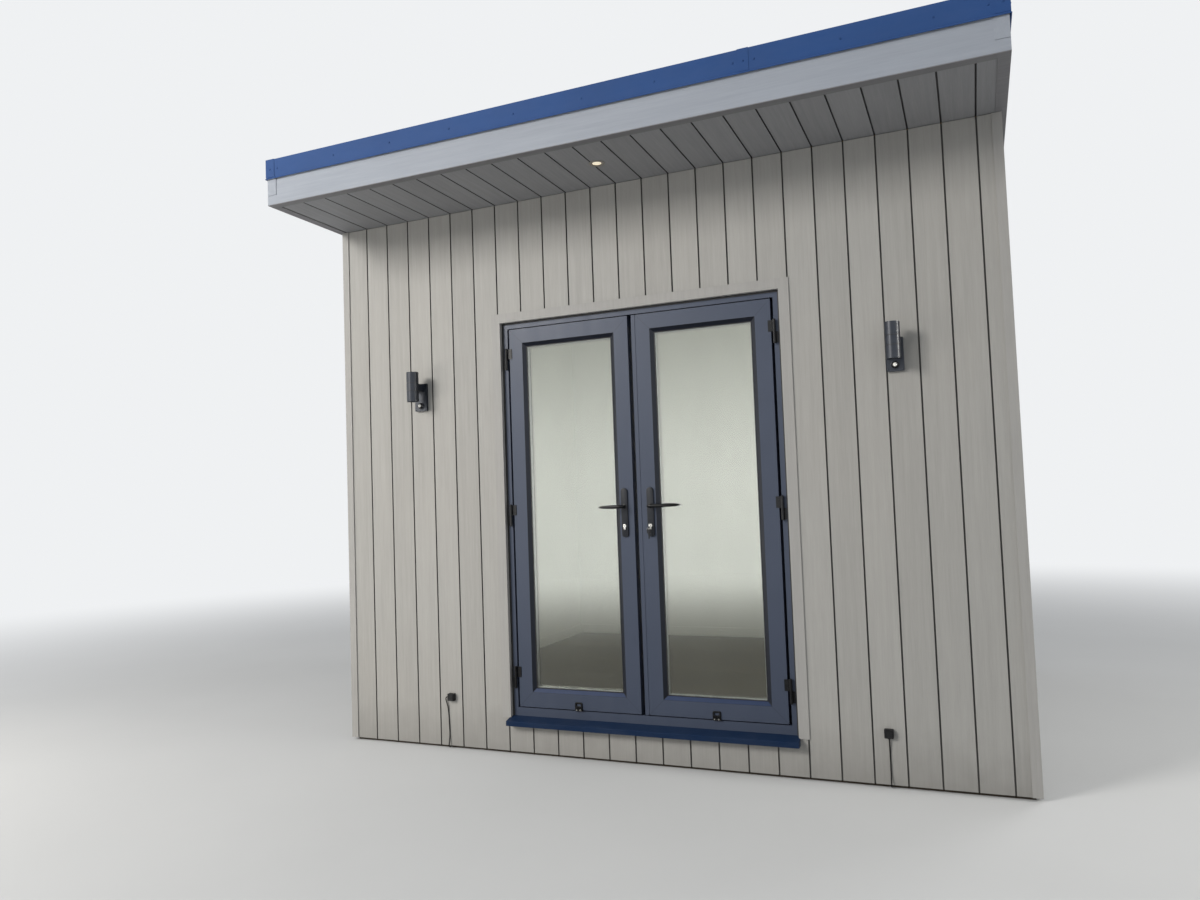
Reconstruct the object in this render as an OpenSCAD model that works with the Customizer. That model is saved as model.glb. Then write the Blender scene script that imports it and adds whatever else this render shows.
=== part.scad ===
// Garden office pod: a flat-roofed insulated room clad in vertical composite boards, with a deep
// front overhang, outward French doors and a wall light on each side of them.
// Origin: middle of the footprint of the whole object, on the ground. The doors face -Y.

/* [Walls] */
// Width over the faces of the side cladding
wall_w = 3565; // [3300:5:4200]
// Depth over the faces of the front and back cladding
wall_d = 3000; // [2400:10:4200]
// Thickness of the insulated wall panels with their battens
wall_t = 140; // [110:5:200]
// Thickness of the inner wall and ceiling lining
lining_t = 12; // [8:1:20]

/* [Base and floor] */
// Height of the shadow gap between the ground and the foot of the cladding
foot_gap = 15; // [12:1:40]
// Height of the bearers that the pod stands on
bearer_h = 78; // [60:1:140]
// Width of one bearer
bearer_w = 95; // [60:5:150]
// Number of bearers from front to back
bearer_count = 5; // [3:1:8]
// Thickness of the insulated floor deck
deck_t = 90; // [60:5:150]
// Thickness of the laid floor boards with their underlay
floor_t = 18; // [10:1:30]
// Height of the skirting
skirting_h = 70; // [40:5:120]
// Thickness of the skirting
skirting_t = 14; // [8:1:22]

/* [Cladding boards] */
// Thickness of a cladding board
board_t = 21; // [16:1:30]
// Cover width from one board joint to the next
board_pitch = 143.5; // [100:0.5:200]
// Width of the cut board beside the left corner
first_board = 130; // [60:1:143]
// Width of the shadow groove at a joint
groove_w = 8; // [4:0.5:14]
// Depth of the shadow groove at a joint
groove_d = 8; // [4:0.5:12]
// Width of a corner trim's leg
corner_leg = 42; // [30:1:70]
// Thickness of the corner trims and of the trims round the doors
trim_t = 6; // [3:0.5:8]

/* [Roof] */
// Height of the underside of the front overhang above the ground
eaves_z = 2966; // [2700:1:3200]
// Distance from the front cladding to the face of the front fascia
front_overhang = 580; // [300:5:900]
// Distance from the side and back cladding to the face of the fascia there
side_overhang = 24; // [24:1:80]
// Thickness of a fascia board
fascia_t = 18; // [14:1:20]
// Thickness of the boards under the overhang
soffit_t = 18; // [14:1:25]
// Place of the lamp in the overhang, from the middle of the wall
downlight_x = -16; // [-1500:1:1500]
// Radius of the lamp's flange
downlight_r = 40; // [34:1:60]
// Height of the fascia boards
fascia_h = 228; // [180:1:300]
// Face leg of the angle trim along the fascia's lower edge
eaves_leg = 52; // [40:1:70]
// Leg of the angle trims on the fascia's corners
fascia_corner_leg = 56; // [40:1:80]
// Thickness of the angle trims on the fascia
angle_t = 3; // [2:0.5:4]
// Thickness of the roof membrane
membrane_t = 3; // [2:0.5:6]
// Height of the metal roof edge trim's face
edge_face_h = 106; // [80:1:140]
// Height of the metal trim's crest above the membrane
edge_crest_h = 13; // [8:1:30]
// Distance that the metal trim's drip lip stands out from the fascia
edge_proud = 12; // [9:1:20]
// Metal thickness of the roof edge trim
edge_t = 2.5; // [2:0.5:4]
// Width of the clips that cover the metal trim's joints
clip_w = 48; // [30:2:80]
// Place of the joint clip on the front edge, from the middle
clip_x = 790; // [-1500:10:1500]

/* [Doors] */
// Width of the door frame
door_w = 1500; // [1200:10:1800]
// Height of the door frame
door_h = 2100; // [1900:10:2300]
// Place of the doors' middle, from the middle of the wall
door_x = 18; // [-200:1:200]
// Distance from the cladding face back to the front of the door frame
frame_set = 20; // [10:1:40]
// Depth of the door frame from front to back
frame_d = 70; // [60:1:90]
// Face of the door frame that shows round the leaves
frame_face = 23; // [18:1:40]
// Depth of the stop that the leaves close against
stop_d = 12; // [8:1:20]
// Width of that stop beyond the frame's face
stop_w = 32; // [20:1:45]
// Height of the frame's lower rail that shows
threshold_face = 44; // [30:1:60]
// Gap between a leaf and the frame at its hinges
hinge_gap = 13; // [8:0.5:18]
// Gap between a leaf and the frame above and below it
rail_gap = 6; // [5:0.5:12]
// Gap between the two leaves where they meet
meeting_gap = 20; // [14:1:30]
// Width of the cover strip on the right leaf's meeting edge
strip_w = 22; // [15:1:30]
// Distance from the doors' middle to the middle of the meeting gap and strip
meet_shift = 4; // [-10:1:10]
// Thickness of a leaf
leaf_t = 56; // [44:1:60]
// Distance that a leaf stands proud of the frame
leaf_proud = 5; // [5:0.5:8]
// Width of a leaf's flat face beside the glass
stile_w = 78; // [60:1:110]
// Width of the sloped bead between a leaf's face and the glass
bead_w = 20; // [12:1:30]
// Thickness of the glass unit
glass_t = 28; // [20:1:32]
// Width of a face leg of the trims round the doors
surround_leg = 50; // [35:1:80]
// Gap between the door frame and the trims round it
surround_gap = 10; // [6:1:20]
// Distance from the bottom of the frame down to the feet of the trims beside it
surround_foot = 9; // [0:1:20]

/* [Door sill] */
// Height of the sill under the door frame
sill_h = 30; // [24:1:45]
// Distance that the sill stands out from the cladding
sill_out = 50; // [40:1:130]
// Fall of the sill's top from the frame to its nose
sill_fall = 15; // [4:1:20]
// Distance that each end of the sill's nose reaches beyond the door frame
sill_horn = 16; // [10:1:40]
// Height of the sill's nose
sill_nose = 26; // [18:1:40]
// Wall thickness of the sill section
sill_t = 4; // [3:0.5:6]

/* [Hinges and handles] */
// Height of a hinge
hinge_h = 110; // [80:1:150]
// Radius of a hinge knuckle
knuckle_r = 7; // [6:0.5:9]
// Radius of a hinge pin
pin_r = 3.5; // [3:0.25:4]
// Distance from the frame's outer edge to the hinge pins
pin_in = 19; // [16:0.5:22]
// Distance from the bottom of the frame up to the middle of the lower hinges
hinge_low = 204; // [150:1:400]
// Distance from the top of the frame down to the middle of the upper hinges
hinge_drop = 190; // [150:1:400]
// Height of the middle hinges above the point halfway between the others
hinge_rise = 7; // [-200:1:200]
// Height of the lever spindle above the bottom of the frame
spindle_z = 1093; // [900:1:1200]
// Length of a handle plate
plate_l = 248; // [200:1:300]
// Width of a handle plate
plate_w = 34; // [28:1:44]
// Thickness of a handle plate
plate_t = 9; // [6:0.5:14]
// Distance from the plate's middle up to the spindle
spindle_up = 30; // [20:1:60]
// Length of a lever from its spindle to its tip
lever_l = 125; // [90:1:150]
// Distance from the handle plate to the middle of the lever's grip
lever_out = 40; // [30:1:60]
// Distance from the spindle down to the lock cylinder
lock_down = 98; // [70:1:110]

/* [Wall lights] */
// Distance from the doors' middle to a wall light
light_in = 1274; // [1000:1:1450]
// Height of the middle of a light's tube
light_z = 1992; // [1700:1:2300]
// Radius of a light's tube
light_r = 33; // [25:1:45]
// Height of a light's tube
light_h = 164; // [120:1:260]
// Distance from the cladding to the tube's axis
light_out = 92; // [70:1:120]

/* [Cable outlets] */
// Size of an outlet box
outlet_size = 40; // [36:1:60]
// Thickness of an outlet box
outlet_t = 20; // [14:1:30]
// Place of the left outlet box, from the middle of the wall
outlet_left_x = -1107; // [-1500:1:-900]
// Height of the left outlet box
outlet_left_z = 279; // [200:1:400]
// Place of the right outlet box, from the middle of the wall
outlet_right_x = 1181; // [900:1:1500]
// Height of the right outlet box
outlet_right_z = 243; // [200:1:400]
// Radius of the cables
cable_r = 3; // [2:0.5:4]

/* [Hidden] */
$fn = 48;
mitre_gap = 0.5;
// Distance that upright rings start below the doors' foot, to be cut off square
below = 200;
clad_col = [0.66, 0.64, 0.60];
trim_col = [0.70, 0.68, 0.64];
fascia_col = [0.60, 0.61, 0.63];
metal_col = [0.16, 0.21, 0.30];
door_col = [0.24, 0.26, 0.30];
black_col = [0.06, 0.06, 0.07];
white_col = [0.90, 0.89, 0.87];
timber_col = [0.62, 0.48, 0.32];
floor_col = [0.52, 0.47, 0.42];
glass_col = [0.75, 0.85, 0.88, 0.35];

// The roof's outline and the frame's origin
roof_w = wall_w + 2 * side_overhang;
roof_d = wall_d + front_overhang + side_overhang;
roof_y = -(roof_d + 2 * edge_proud) / 2 + edge_proud;
front_y = roof_y + front_overhang;
back_y = front_y + wall_d;
deck_top = bearer_h + deck_t;
floor_top = deck_top + floor_t;
panel_top = eaves_z + soffit_t;
roof_top = eaves_z + fascia_h;
edge_crest = roof_top + membrane_t + edge_crest_h;
edge_face_out = edge_proud - 4;
clad_top = eaves_z - angle_t;
clad_h = clad_top - foot_gap;
in_w = wall_w - 2 * (board_t + wall_t + lining_t);
panel_w = wall_w - 2 * board_t;
panel_d = wall_d - 2 * board_t;
panel_y = front_y + board_t;
room_y = panel_y + wall_t;
lined_y = room_y + lining_t;
lined_back = back_y - board_t - wall_t - lining_t;
ceiling_z = panel_top - lining_t;

// The doors, in their own frame: origin at the frame's lower middle, on the cladding face
frame_z = deck_top + sill_h;
frame_back = front_y + frame_set + frame_d;
leaf_y = frame_set - leaf_proud;
leaf_z = threshold_face + rail_gap;
leaf_h = door_h - frame_face - rail_gap - leaf_z;
leaf_edge = door_w / 2 - frame_face - hinge_gap;
meet_left = -(meeting_gap + strip_w) / 2 - meet_shift;
meet_strip = meet_left + meeting_gap;
meet_right = meet_strip + strip_w;
left_leaf_w = leaf_edge + meet_left;
right_leaf_w = leaf_edge - meet_right;
handle_left_x = meet_left - (stile_w + bead_w) / 2;
handle_right_x = meet_right + (stile_w + bead_w) / 2;
glass_set = (leaf_t - glass_t) / 2;
glass_lap = 8;
spindle_r = 5;
pin_x = door_w / 2 - pin_in;
flag_t = 3;
pin_y = leaf_y - flag_t - knuckle_r + 1.5;
pin_play = 0.08;
knuckle_gap = 0.5;
cut_w = door_w + 2 * (surround_gap + trim_t);
cut_top = frame_z + door_h + surround_gap + trim_t;
hinge_high = door_h - hinge_drop;
hinge_zs = [hinge_low, (hinge_low + hinge_high) / 2 + hinge_rise, hinge_high];

// A box from its lower corner to its upper corner
module block(a, b) {
    translate(a) cube(b - a);
}

// One side of a mitred rectangular ring in plan. The section's points are [in from the edge, height].
module ring_south(w, section, gap = 0) {
    low = min([for (p = section) p[0]]);
    high = max([for (p = section) p[0]]);
    base = min([for (p = section) p[1]]);
    top = max([for (p = section) p[1]]);
    intersection() {
        translate([low, 0, 0]) rotate([90, 0, 90]) linear_extrude(w - 2 * low) polygon(section);
        translate([0, 0, base - 1]) linear_extrude(top - base + 2)
            polygon([[low - 1 + gap, low - 1], [w - low + 1 - gap, low - 1],
                [w - high - 1 - gap, high + 1], [high + 1 + gap, high + 1]]);
    }
}

module ring_west(d, section, gap = 0) {
    mirror([1, -1, 0]) ring_south(d, section, gap);
}

module ring_north(w, d, section, gap = 0) {
    translate([0, d, 0]) mirror([0, 1, 0]) ring_south(w, section, gap);
}

module ring_east(w, d, section, gap = 0) {
    translate([w, 0, 0]) mirror([1, 0, 0]) ring_west(d, section, gap);
}

module ring(w, d, section, gap = 0) {
    ring_south(w, section, gap);
    ring_north(w, d, section, gap);
    ring_west(d, section, gap);
    ring_east(w, d, section, gap);
}

// Places a ring on the outline of the roof's fascia
module on_roof() {
    translate([-roof_w / 2, roof_y, 0]) children();
}

// Stands a ring up as a door frame or leaf: its height turns to face the front
module stood(x, y, z) {
    translate([x, y, z]) rotate([90, 0, 0]) children();
}

// Moves to the doors' own frame
module at_doors() {
    translate([door_x, front_y, frame_z]) children();
}

// Places of the joints along a clad width, from its left end
function joints(w) = [for (x = corner_leg - trim_t + first_board; x < w - corner_leg - groove_w;
    x = x + board_pitch) x];

// Outline of a row of boards in plan with a tapered shadow groove at each joint; the face lies at y = 0
function board_outline(w, t, xs) = concat([[0, 0]],
    [for (x = xs) each [[x - groove_w / 2, 0], [x - groove_w / 4, groove_d],
        [x + groove_w / 4, groove_d], [x + groove_w / 2, 0]]],
    [[w, 0], [w, t], [0, t]]);

module boards(w) {
    linear_extrude(clad_h) polygon(board_outline(w, board_t, joints(w)));
}

// A plate with rounded corners that faces -Y, with its middle at the origin
module rounded_plate(w, h, t, r) {
    rotate([90, 0, 0]) linear_extrude(t) union() {
        square([w - 2 * r, h], center = true);
        square([w, h - 2 * r], center = true);
        for (sx = [-1, 1], sz = [-1, 1])
            translate([sx * (w / 2 - r), sz * (h / 2 - r)]) circle(r);
    }
}

// Base and floor

module base_bearers() {
    step = (panel_d - bearer_w) / (bearer_count - 1);
    run = panel_w - 2 * bearer_w;
    color(timber_col) for (i = [0 : bearer_count - 1])
        translate([-run / 2, panel_y + i * step, 0]) cube([run, bearer_w, bearer_h]);
}

module side_bearers() {
    color(timber_col) for (x = [-panel_w / 2, panel_w / 2 - bearer_w])
        translate([x, panel_y, 0]) cube([bearer_w, panel_d, bearer_h]);
}

module floor_deck() {
    color(timber_col) translate([-panel_w / 2, panel_y, bearer_h]) cube([panel_w, panel_d, deck_t]);
}

// The boards run on through the doorway to the door frame
module floor_boards() {
    color(floor_col) union() {
        block([-in_w / 2, lined_y, deck_top], [in_w / 2, lined_back, floor_top]);
        block([door_x - door_w / 2 + lining_t, frame_back, deck_top],
            [door_x + door_w / 2 - lining_t, lined_y, floor_top]);
    }
}

// Wall panels

module wall_panel(x0, x1, y0, y1, z0 = deck_top, z1 = panel_top) {
    color(timber_col) block([x0, y0, z0], [x1, y1, z1]);
}

module front_wall_left() {
    wall_panel(-panel_w / 2, door_x - door_w / 2, panel_y, room_y);
}

module front_wall_right() {
    wall_panel(door_x + door_w / 2, panel_w / 2, panel_y, room_y);
}

module front_wall_head() {
    wall_panel(door_x - door_w / 2, door_x + door_w / 2, panel_y, room_y, frame_z + door_h);
}

module left_wall() {
    wall_panel(-panel_w / 2, -panel_w / 2 + wall_t, room_y, lined_back + lining_t);
}

module right_wall() {
    wall_panel(panel_w / 2 - wall_t, panel_w / 2, room_y, lined_back + lining_t);
}

module back_wall() {
    wall_panel(-panel_w / 2, panel_w / 2, lined_back + lining_t, back_y - board_t);
}

// Inside

// Lining of the four walls, turned into the doorway up to the door frame
module inner_lining() {
    color(white_col) difference() {
        union() {
            block([-in_w / 2 - lining_t, room_y, deck_top],
                [in_w / 2 + lining_t, lined_back + lining_t, ceiling_z]);
            block([door_x - door_w / 2, frame_back, deck_top],
                [door_x + door_w / 2, lined_y, frame_z + door_h]);
        }
        block([-in_w / 2, lined_y, deck_top - 1], [in_w / 2, lined_back, ceiling_z + 1]);
        block([door_x - door_w / 2 + lining_t, frame_back - 1, deck_top - 1],
            [door_x + door_w / 2 - lining_t, lined_y + 1, frame_z + door_h - lining_t]);
    }
}

module ceiling() {
    color(white_col) block([-in_w / 2 - lining_t, room_y, ceiling_z],
        [in_w / 2 + lining_t, lined_back + lining_t, panel_top]);
}

module skirting() {
    color(white_col) difference() {
        block([-in_w / 2, lined_y, floor_top], [in_w / 2, lined_back, floor_top + skirting_h]);
        block([-in_w / 2 + skirting_t, lined_y + skirting_t, floor_top - 1],
            [in_w / 2 - skirting_t, lined_back - skirting_t, floor_top + skirting_h + 1]);
        block([door_x - door_w / 2, lined_y - 1, floor_top - 1],
            [door_x + door_w / 2, lined_y + skirting_t + 1, floor_top + skirting_h + 1]);
    }
}

// Cladding

module front_cladding() {
    color(clad_col) difference() {
        translate([-wall_w / 2, front_y, foot_gap]) boards(wall_w);
        block([door_x - cut_w / 2, front_y - 1, deck_top],
            [door_x + cut_w / 2, front_y + board_t + 1, cut_top]);
    }
}

module back_cladding() {
    color(clad_col) translate([wall_w / 2, back_y, foot_gap]) rotate([0, 0, 180]) boards(wall_w);
}

// Side boards run between the front and back cladding
module side_boards() {
    side_w = wall_d - 2 * board_t;
    translate([-side_w / 2, 0, 0]) boards(side_w);
}

module left_cladding() {
    color(clad_col) translate([-wall_w / 2, (front_y + back_y) / 2, foot_gap])
        rotate([0, 0, -90]) side_boards();
}

module right_cladding() {
    color(clad_col) translate([wall_w / 2, (front_y + back_y) / 2, foot_gap])
        rotate([0, 0, 90]) side_boards();
}

module corner_trim() {
    leg = corner_leg - trim_t;
    linear_extrude(clad_h)
        polygon([[-trim_t, -trim_t], [leg, -trim_t], [leg, 0], [0, 0], [0, leg], [-trim_t, leg]]);
}

module corner_trims() {
    color(trim_col) translate([0, 0, foot_gap]) {
        for (s = [0, 1]) mirror([s, 0, 0]) {
            translate([-wall_w / 2, front_y, 0]) corner_trim();
            translate([-wall_w / 2, back_y, 0]) mirror([0, 1, 0]) corner_trim();
        }
    }
}

// Angle trims round the door opening: a face leg on the cladding and a return into the opening
module door_surround() {
    leg_top = door_h + surround_gap;
    w = cut_w - 2 * trim_t;
    section = [[-surround_leg, 0], [-surround_leg, trim_t], [0, trim_t], [0, -frame_set],
        [-trim_t, -frame_set], [-trim_t, 0]];
    color(trim_col) at_doors() intersection() {
        stood(-w / 2, 0, -below) ring(w, leg_top + below, section);
        block([-w, -trim_t - 1, -surround_foot], [w, frame_set + 1, leg_top + surround_leg + 1]);
    }
}

// Roof

module roof_deck() {
    color(timber_col) block([-roof_w / 2 + fascia_t, roof_y + fascia_t, panel_top],
        [roof_w / 2 - fascia_t, roof_y + roof_d - fascia_t, roof_top]);
}

module roof_membrane() {
    color(black_col) block([-roof_w / 2, roof_y, roof_top],
        [roof_w / 2, roof_y + roof_d, roof_top + membrane_t]);
}

// Boards under the overhang run from front to back in line with the wall's boards
module soffit_boards() {
    w = roof_w - 2 * fascia_t;
    run = front_overhang - fascia_t + board_t;
    xs = [for (x = joints(wall_w)) x + (w - wall_w) / 2];
    color(fascia_col) difference() {
        translate([-w / 2, front_y + board_t, eaves_z]) rotate([90, 0, 0])
            linear_extrude(run) polygon(board_outline(w, soffit_t, xs));
        at_downlight() translate([0, 0, -1]) cylinder(r = downlight_r - 7, h = soffit_t + 2);
    }
}

fascia_section = [[0, eaves_z], [fascia_t, eaves_z], [fascia_t, roof_top], [0, roof_top]];

module fascia_front() {
    color(fascia_col) on_roof() ring_south(roof_w, fascia_section);
}

module fascia_back() {
    color(fascia_col) on_roof() ring_north(roof_w, roof_d, fascia_section);
}

module fascia_left() {
    color(fascia_col) on_roof() ring_west(roof_d, fascia_section);
}

module fascia_right() {
    color(fascia_col) on_roof() ring_east(roof_w, roof_d, fascia_section);
}

// Angle trim along the fascia's lower edge, mitred at the corners. Its lower leg reaches the wall panels.
module eaves_trims() {
    under = side_overhang + board_t;
    section = [[-angle_t, eaves_z - angle_t], [under, eaves_z - angle_t], [under, eaves_z],
        [0, eaves_z], [0, eaves_z + eaves_leg - angle_t], [-angle_t, eaves_z + eaves_leg - angle_t]];
    color(fascia_col) on_roof() ring(roof_w, roof_d, section);
}

module fascia_corner_trims() {
    z0 = eaves_z + eaves_leg - angle_t + 2;
    h = roof_top - z0;
    leg = fascia_corner_leg - angle_t;
    color(fascia_col) translate([0, 0, z0]) for (s = [0, 1]) mirror([s, 0, 0])
        for (y = [0, 1]) translate([-roof_w / 2, roof_y + y * roof_d, 0]) mirror([0, y, 0])
            linear_extrude(h)
                polygon([[-angle_t, -angle_t], [leg, -angle_t], [leg, 0], [0, 0], [0, leg], [-angle_t, leg]]);
}

// Metal roof edge trim: a flange on the membrane, a crest, a face over the fascia and a kicked drip lip
crest_in = 4;

module roof_edge_trims() {
    m = roof_top + membrane_t;
    low = edge_crest - edge_face_h;
    t = edge_t;
    crest = edge_crest;
    face = edge_face_out;
    flange_in = 62;
    slope_in = 16;
    kick_h = 8;
    lip_h = 3;
    section = [[flange_in, m], [flange_in, m + t], [slope_in, m + t], [crest_in, crest], [-face, crest],
        [-face, low + kick_h], [-edge_proud, low + lip_h], [-edge_proud, low], [-edge_proud + t, low],
        [-edge_proud + t, low + lip_h - 1], [-face + t, low + kick_h - 1], [-face + t, crest - t],
        [crest_in - 1, crest - t], [slope_in - 2, m]];
    color(metal_col) on_roof() ring(roof_w, roof_d, section, mitre_gap);
}

// Clips over the joints and corners of the metal trim
module roof_edge_clips() {
    clip_t = 1.5;
    kick_room = 10;
    low = edge_crest - edge_face_h + kick_room;
    crest = edge_crest;
    face = edge_face_out;
    section = [[crest_in, crest], [crest_in, crest + clip_t], [-face - clip_t, crest + clip_t],
        [-face - clip_t, low], [-face, low], [-face, crest]];
    color(metal_col) on_roof() {
        intersection() {
            ring(roof_w, roof_d, section);
            union() for (x = [0, 1], y = [0, 1]) translate([x * roof_w, y * roof_d, low - 1])
                cube([2 * clip_w, 2 * clip_w, 2 * edge_face_h], center = true);
        }
        for (y = [0, 1]) intersection() {
            union() {
                ring_south(roof_w, section);
                ring_north(roof_w, roof_d, section);
            }
            translate([roof_w / 2 + clip_x, y * roof_d, low])
                cube([clip_w, 2 * clip_w, 2 * edge_face_h], center = true);
        }
    }
}

module at_downlight() {
    translate([downlight_x, front_y - front_overhang / 2, eaves_z]) children();
}

// Recessed lamp in the overhang: a flanged ring with its lens set up in the barrel
module downlight() {
    r = downlight_r;
    flange_t = 3;
    color(white_col) at_downlight() rotate_extrude()
        polygon([[0, 4], [r - 11, 4], [r - 13, -flange_t], [r - 2, -flange_t], [r, -flange_t / 2], [r, 0],
            [r - 8, 0], [r - 8, soffit_t], [0, soffit_t]]);
}

// Doors

// Section of the door frame: the outer web, then the stop behind the leaves
frame_section = [[0, 0], [frame_face + stop_w, 0], [frame_face + stop_w, stop_d], [frame_face, stop_d],
    [frame_face, frame_d], [0, frame_d]];

module frame_ring_at() {
    color(door_col) at_doors() stood(-door_w / 2, frame_set + frame_d, 0) children();
}

module door_frame_head() {
    frame_ring_at() ring_north(door_w, door_h, frame_section);
}

// A jamb is mitred to the head and stands on the threshold rail
module jamb_cut() {
    frame_ring_at() difference() {
        translate([0, -below, 0]) children();
        translate([-1, -below - stop_w, -1]) cube([door_w + 2, below + stop_w + threshold_face, frame_d + 2]);
    }
}

module door_frame_left() {
    jamb_cut() ring_west(door_h + below, frame_section);
}

module door_frame_right() {
    jamb_cut() ring_east(door_w, door_h + below, frame_section);
}

// The lower rail of the frame, with an upstand behind the leaves
module door_threshold() {
    color(door_col) at_doors() union() {
        block([-door_w / 2, frame_set, 0], [door_w / 2, frame_set + frame_d, threshold_face]);
        block([-door_w / 2 + frame_face + stop_w, frame_set + frame_d - stop_d, threshold_face],
            [door_w / 2 - frame_face - stop_w, frame_set + frame_d, threshold_face + stop_w]);
    }
}

// Pressed sill: a sloped top, a nose with a drip edge and an upstand under the frame. Its nose has horns
// that reach past the trims beside the doors.
module door_sill() {
    w = door_w + 2 * sill_horn;
    nose = -sill_out;
    top = -sill_fall;
    back = frame_set + frame_d;
    under = top - sill_t - 1;
    chamfer = 3;
    drip_in = 12;
    drip_d = 5;
    wall_gap = 2;
    color(metal_col) at_doors() difference() {
        translate([-w / 2, 0, 0]) rotate([90, 0, 90]) linear_extrude(w)
            polygon([[back, 0], [frame_set, 0], [nose + chamfer, top], [nose, top - chamfer],
                [nose, top - sill_nose], [nose + sill_t, top - sill_nose],
                [nose + sill_t + 1, under - drip_d], [nose + drip_in, under], [-wall_gap, under + 1],
                [-wall_gap, -sill_h], [back, -sill_h]]);
        for (s = [0, 1]) mirror([s, 0, 0]) {
            block([door_w / 2 + surround_gap - 1, -trim_t - 1, -sill_h - 1], [w, board_t, 1]);
            block([door_w / 2, board_t, -sill_h - 1], [w, back + 1, 1]);
        }
    }
}

module leaf_ring(w) {
    m = stile_w + bead_w;
    section = [[0, 0], [m, 0], [m, glass_set], [m - glass_lap, glass_set],
        [m - glass_lap, glass_set + glass_t], [m, glass_set + glass_t], [stile_w, leaf_t], [0, leaf_t]];
    ring(w, leaf_h, section);
}

module spindle_hole(x) {
    translate([x, -1, spindle_z]) rotate([-90, 0, 0]) cylinder(r = spindle_r + 1, h = leaf_y + leaf_t + 2);
}

module left_leaf() {
    color(door_col) at_doors() difference() {
        stood(-leaf_edge, leaf_y + leaf_t, leaf_z) leaf_ring(left_leaf_w);
        spindle_hole(handle_left_x);
    }
}

module right_leaf() {
    color(door_col) at_doors() difference() {
        stood(meet_right, leaf_y + leaf_t, leaf_z) leaf_ring(right_leaf_w);
        spindle_hole(handle_right_x);
    }
}

module glass_unit(x, w) {
    m = stile_w + bead_w - glass_lap;
    color(glass_col) at_doors() block([x + m, leaf_y + glass_set, leaf_z + m],
        [x + w - m, leaf_y + glass_set + glass_t, leaf_z + leaf_h - m]);
}

module left_glass() {
    glass_unit(-leaf_edge, left_leaf_w);
}

module right_glass() {
    glass_unit(meet_right, right_leaf_w);
}

// Cover strip on the right leaf's meeting edge, with a tongue that stands in the gap
module meeting_strip() {
    tongue = meet_left + meeting_gap / 2;
    tongue_t = leaf_t / 4;
    back = leaf_y + leaf_t;
    color(door_col) at_doors() translate([0, 0, leaf_z]) linear_extrude(leaf_h)
        polygon([[meet_right, leaf_y - 2], [meet_right, back], [tongue, back], [tongue, back - tongue_t],
            [meet_strip, back - tongue_t], [meet_strip, leaf_y + 2], [meet_strip + 3, leaf_y - 2]]);
}

// Hinges: the frame's knuckle carries the pin and the leaf's knuckle turns on it. s is -1 on the left.
module hinge_frame_part(s, z) {
    half = hinge_h / 2;
    out = s < 0 ? 1 : 0;
    seat = frame_set - pin_y;
    translate([s * pin_x, pin_y, z]) {
        translate([0, 0, -half]) cylinder(r = knuckle_r, h = half - knuckle_gap);
        translate([0, 0, -half]) cylinder(r = pin_r, h = hinge_h);
        mirror([out, 0, 0]) block([0, seat - flag_t, -half], [pin_in - 2, seat, -knuckle_gap]);
        mirror([out, 0, 0]) block([0, 0, -half], [flag_t, seat, -knuckle_gap]);
    }
}

module hinge_leaf_part(s, z) {
    half = hinge_h / 2;
    inward = s > 0 ? 1 : 0;
    seat = leaf_y - pin_y;
    reach = pin_x - leaf_edge + 2 * knuckle_r;
    translate([s * pin_x, pin_y, z]) difference() {
        union() {
            translate([0, 0, knuckle_gap]) cylinder(r = knuckle_r, h = half - knuckle_gap);
            mirror([inward, 0, 0]) block([0, seat - flag_t, knuckle_gap], [reach, seat, half]);
        }
        translate([0, 0, -1]) cylinder(r = pin_r + pin_play, h = half + 2);
    }
}

module frame_hinges() {
    color(black_col) at_doors() for (s = [-1, 1], z = hinge_zs) hinge_frame_part(s, z);
}

module left_hinges() {
    color(black_col) at_doors() for (z = hinge_zs) hinge_leaf_part(-1, z);
}

module right_hinges() {
    color(black_col) at_doors() for (z = hinge_zs) hinge_leaf_part(1, z);
}

// Handle plates with round ends on both faces of the leaf, with a lock cylinder under each spindle
module handle_plate(x) {
    lock_r = 8.5;
    lock_foot_r = 5;
    lock_foot = 16;
    lock_t = plate_t + 3;
    lock_z = spindle_z - lock_down;
    difference() {
        translate([x, 0, spindle_z - spindle_up]) rotate([90, 0, 0]) linear_extrude(plate_t) union() {
            square([plate_w, plate_l - plate_w], center = true);
            for (s = [-1, 1]) translate([0, s * (plate_l - plate_w) / 2]) circle(plate_w / 2);
        }
        translate([x, 1, spindle_z]) rotate([90, 0, 0]) cylinder(r = spindle_r + 1, h = plate_t + 2);
    }
    translate([x, 0, lock_z]) rotate([90, 0, 0]) cylinder(r = lock_r, h = lock_t);
    translate([x, 0, lock_z - lock_foot]) rotate([90, 0, 0]) cylinder(r = lock_foot_r, h = lock_t);
    block([x - lock_foot_r, -lock_t, lock_z - lock_foot], [x + lock_foot_r, 0, lock_z]);
}

// Catch at the middle of a leaf's lower edge
module leaf_catch(x) {
    catch_w = 42;
    catch_h = 46;
    catch_up = 17;
    translate([x, leaf_y, leaf_z + catch_up]) rounded_plate(catch_w, catch_h, plate_t, 5);
}

module handle_plates(x, catch_x) {
    color(black_col) at_doors() {
        translate([0, leaf_y, 0]) handle_plate(x);
        translate([0, leaf_y + leaf_t, 0]) mirror([0, 1, 0]) handle_plate(x);
        leaf_catch(catch_x);
    }
}

module left_handle_plates() {
    handle_plates(handle_left_x, -leaf_edge + left_leaf_w / 2);
}

module right_handle_plates() {
    handle_plates(handle_right_x, leaf_edge - right_leaf_w / 2);
}

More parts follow.
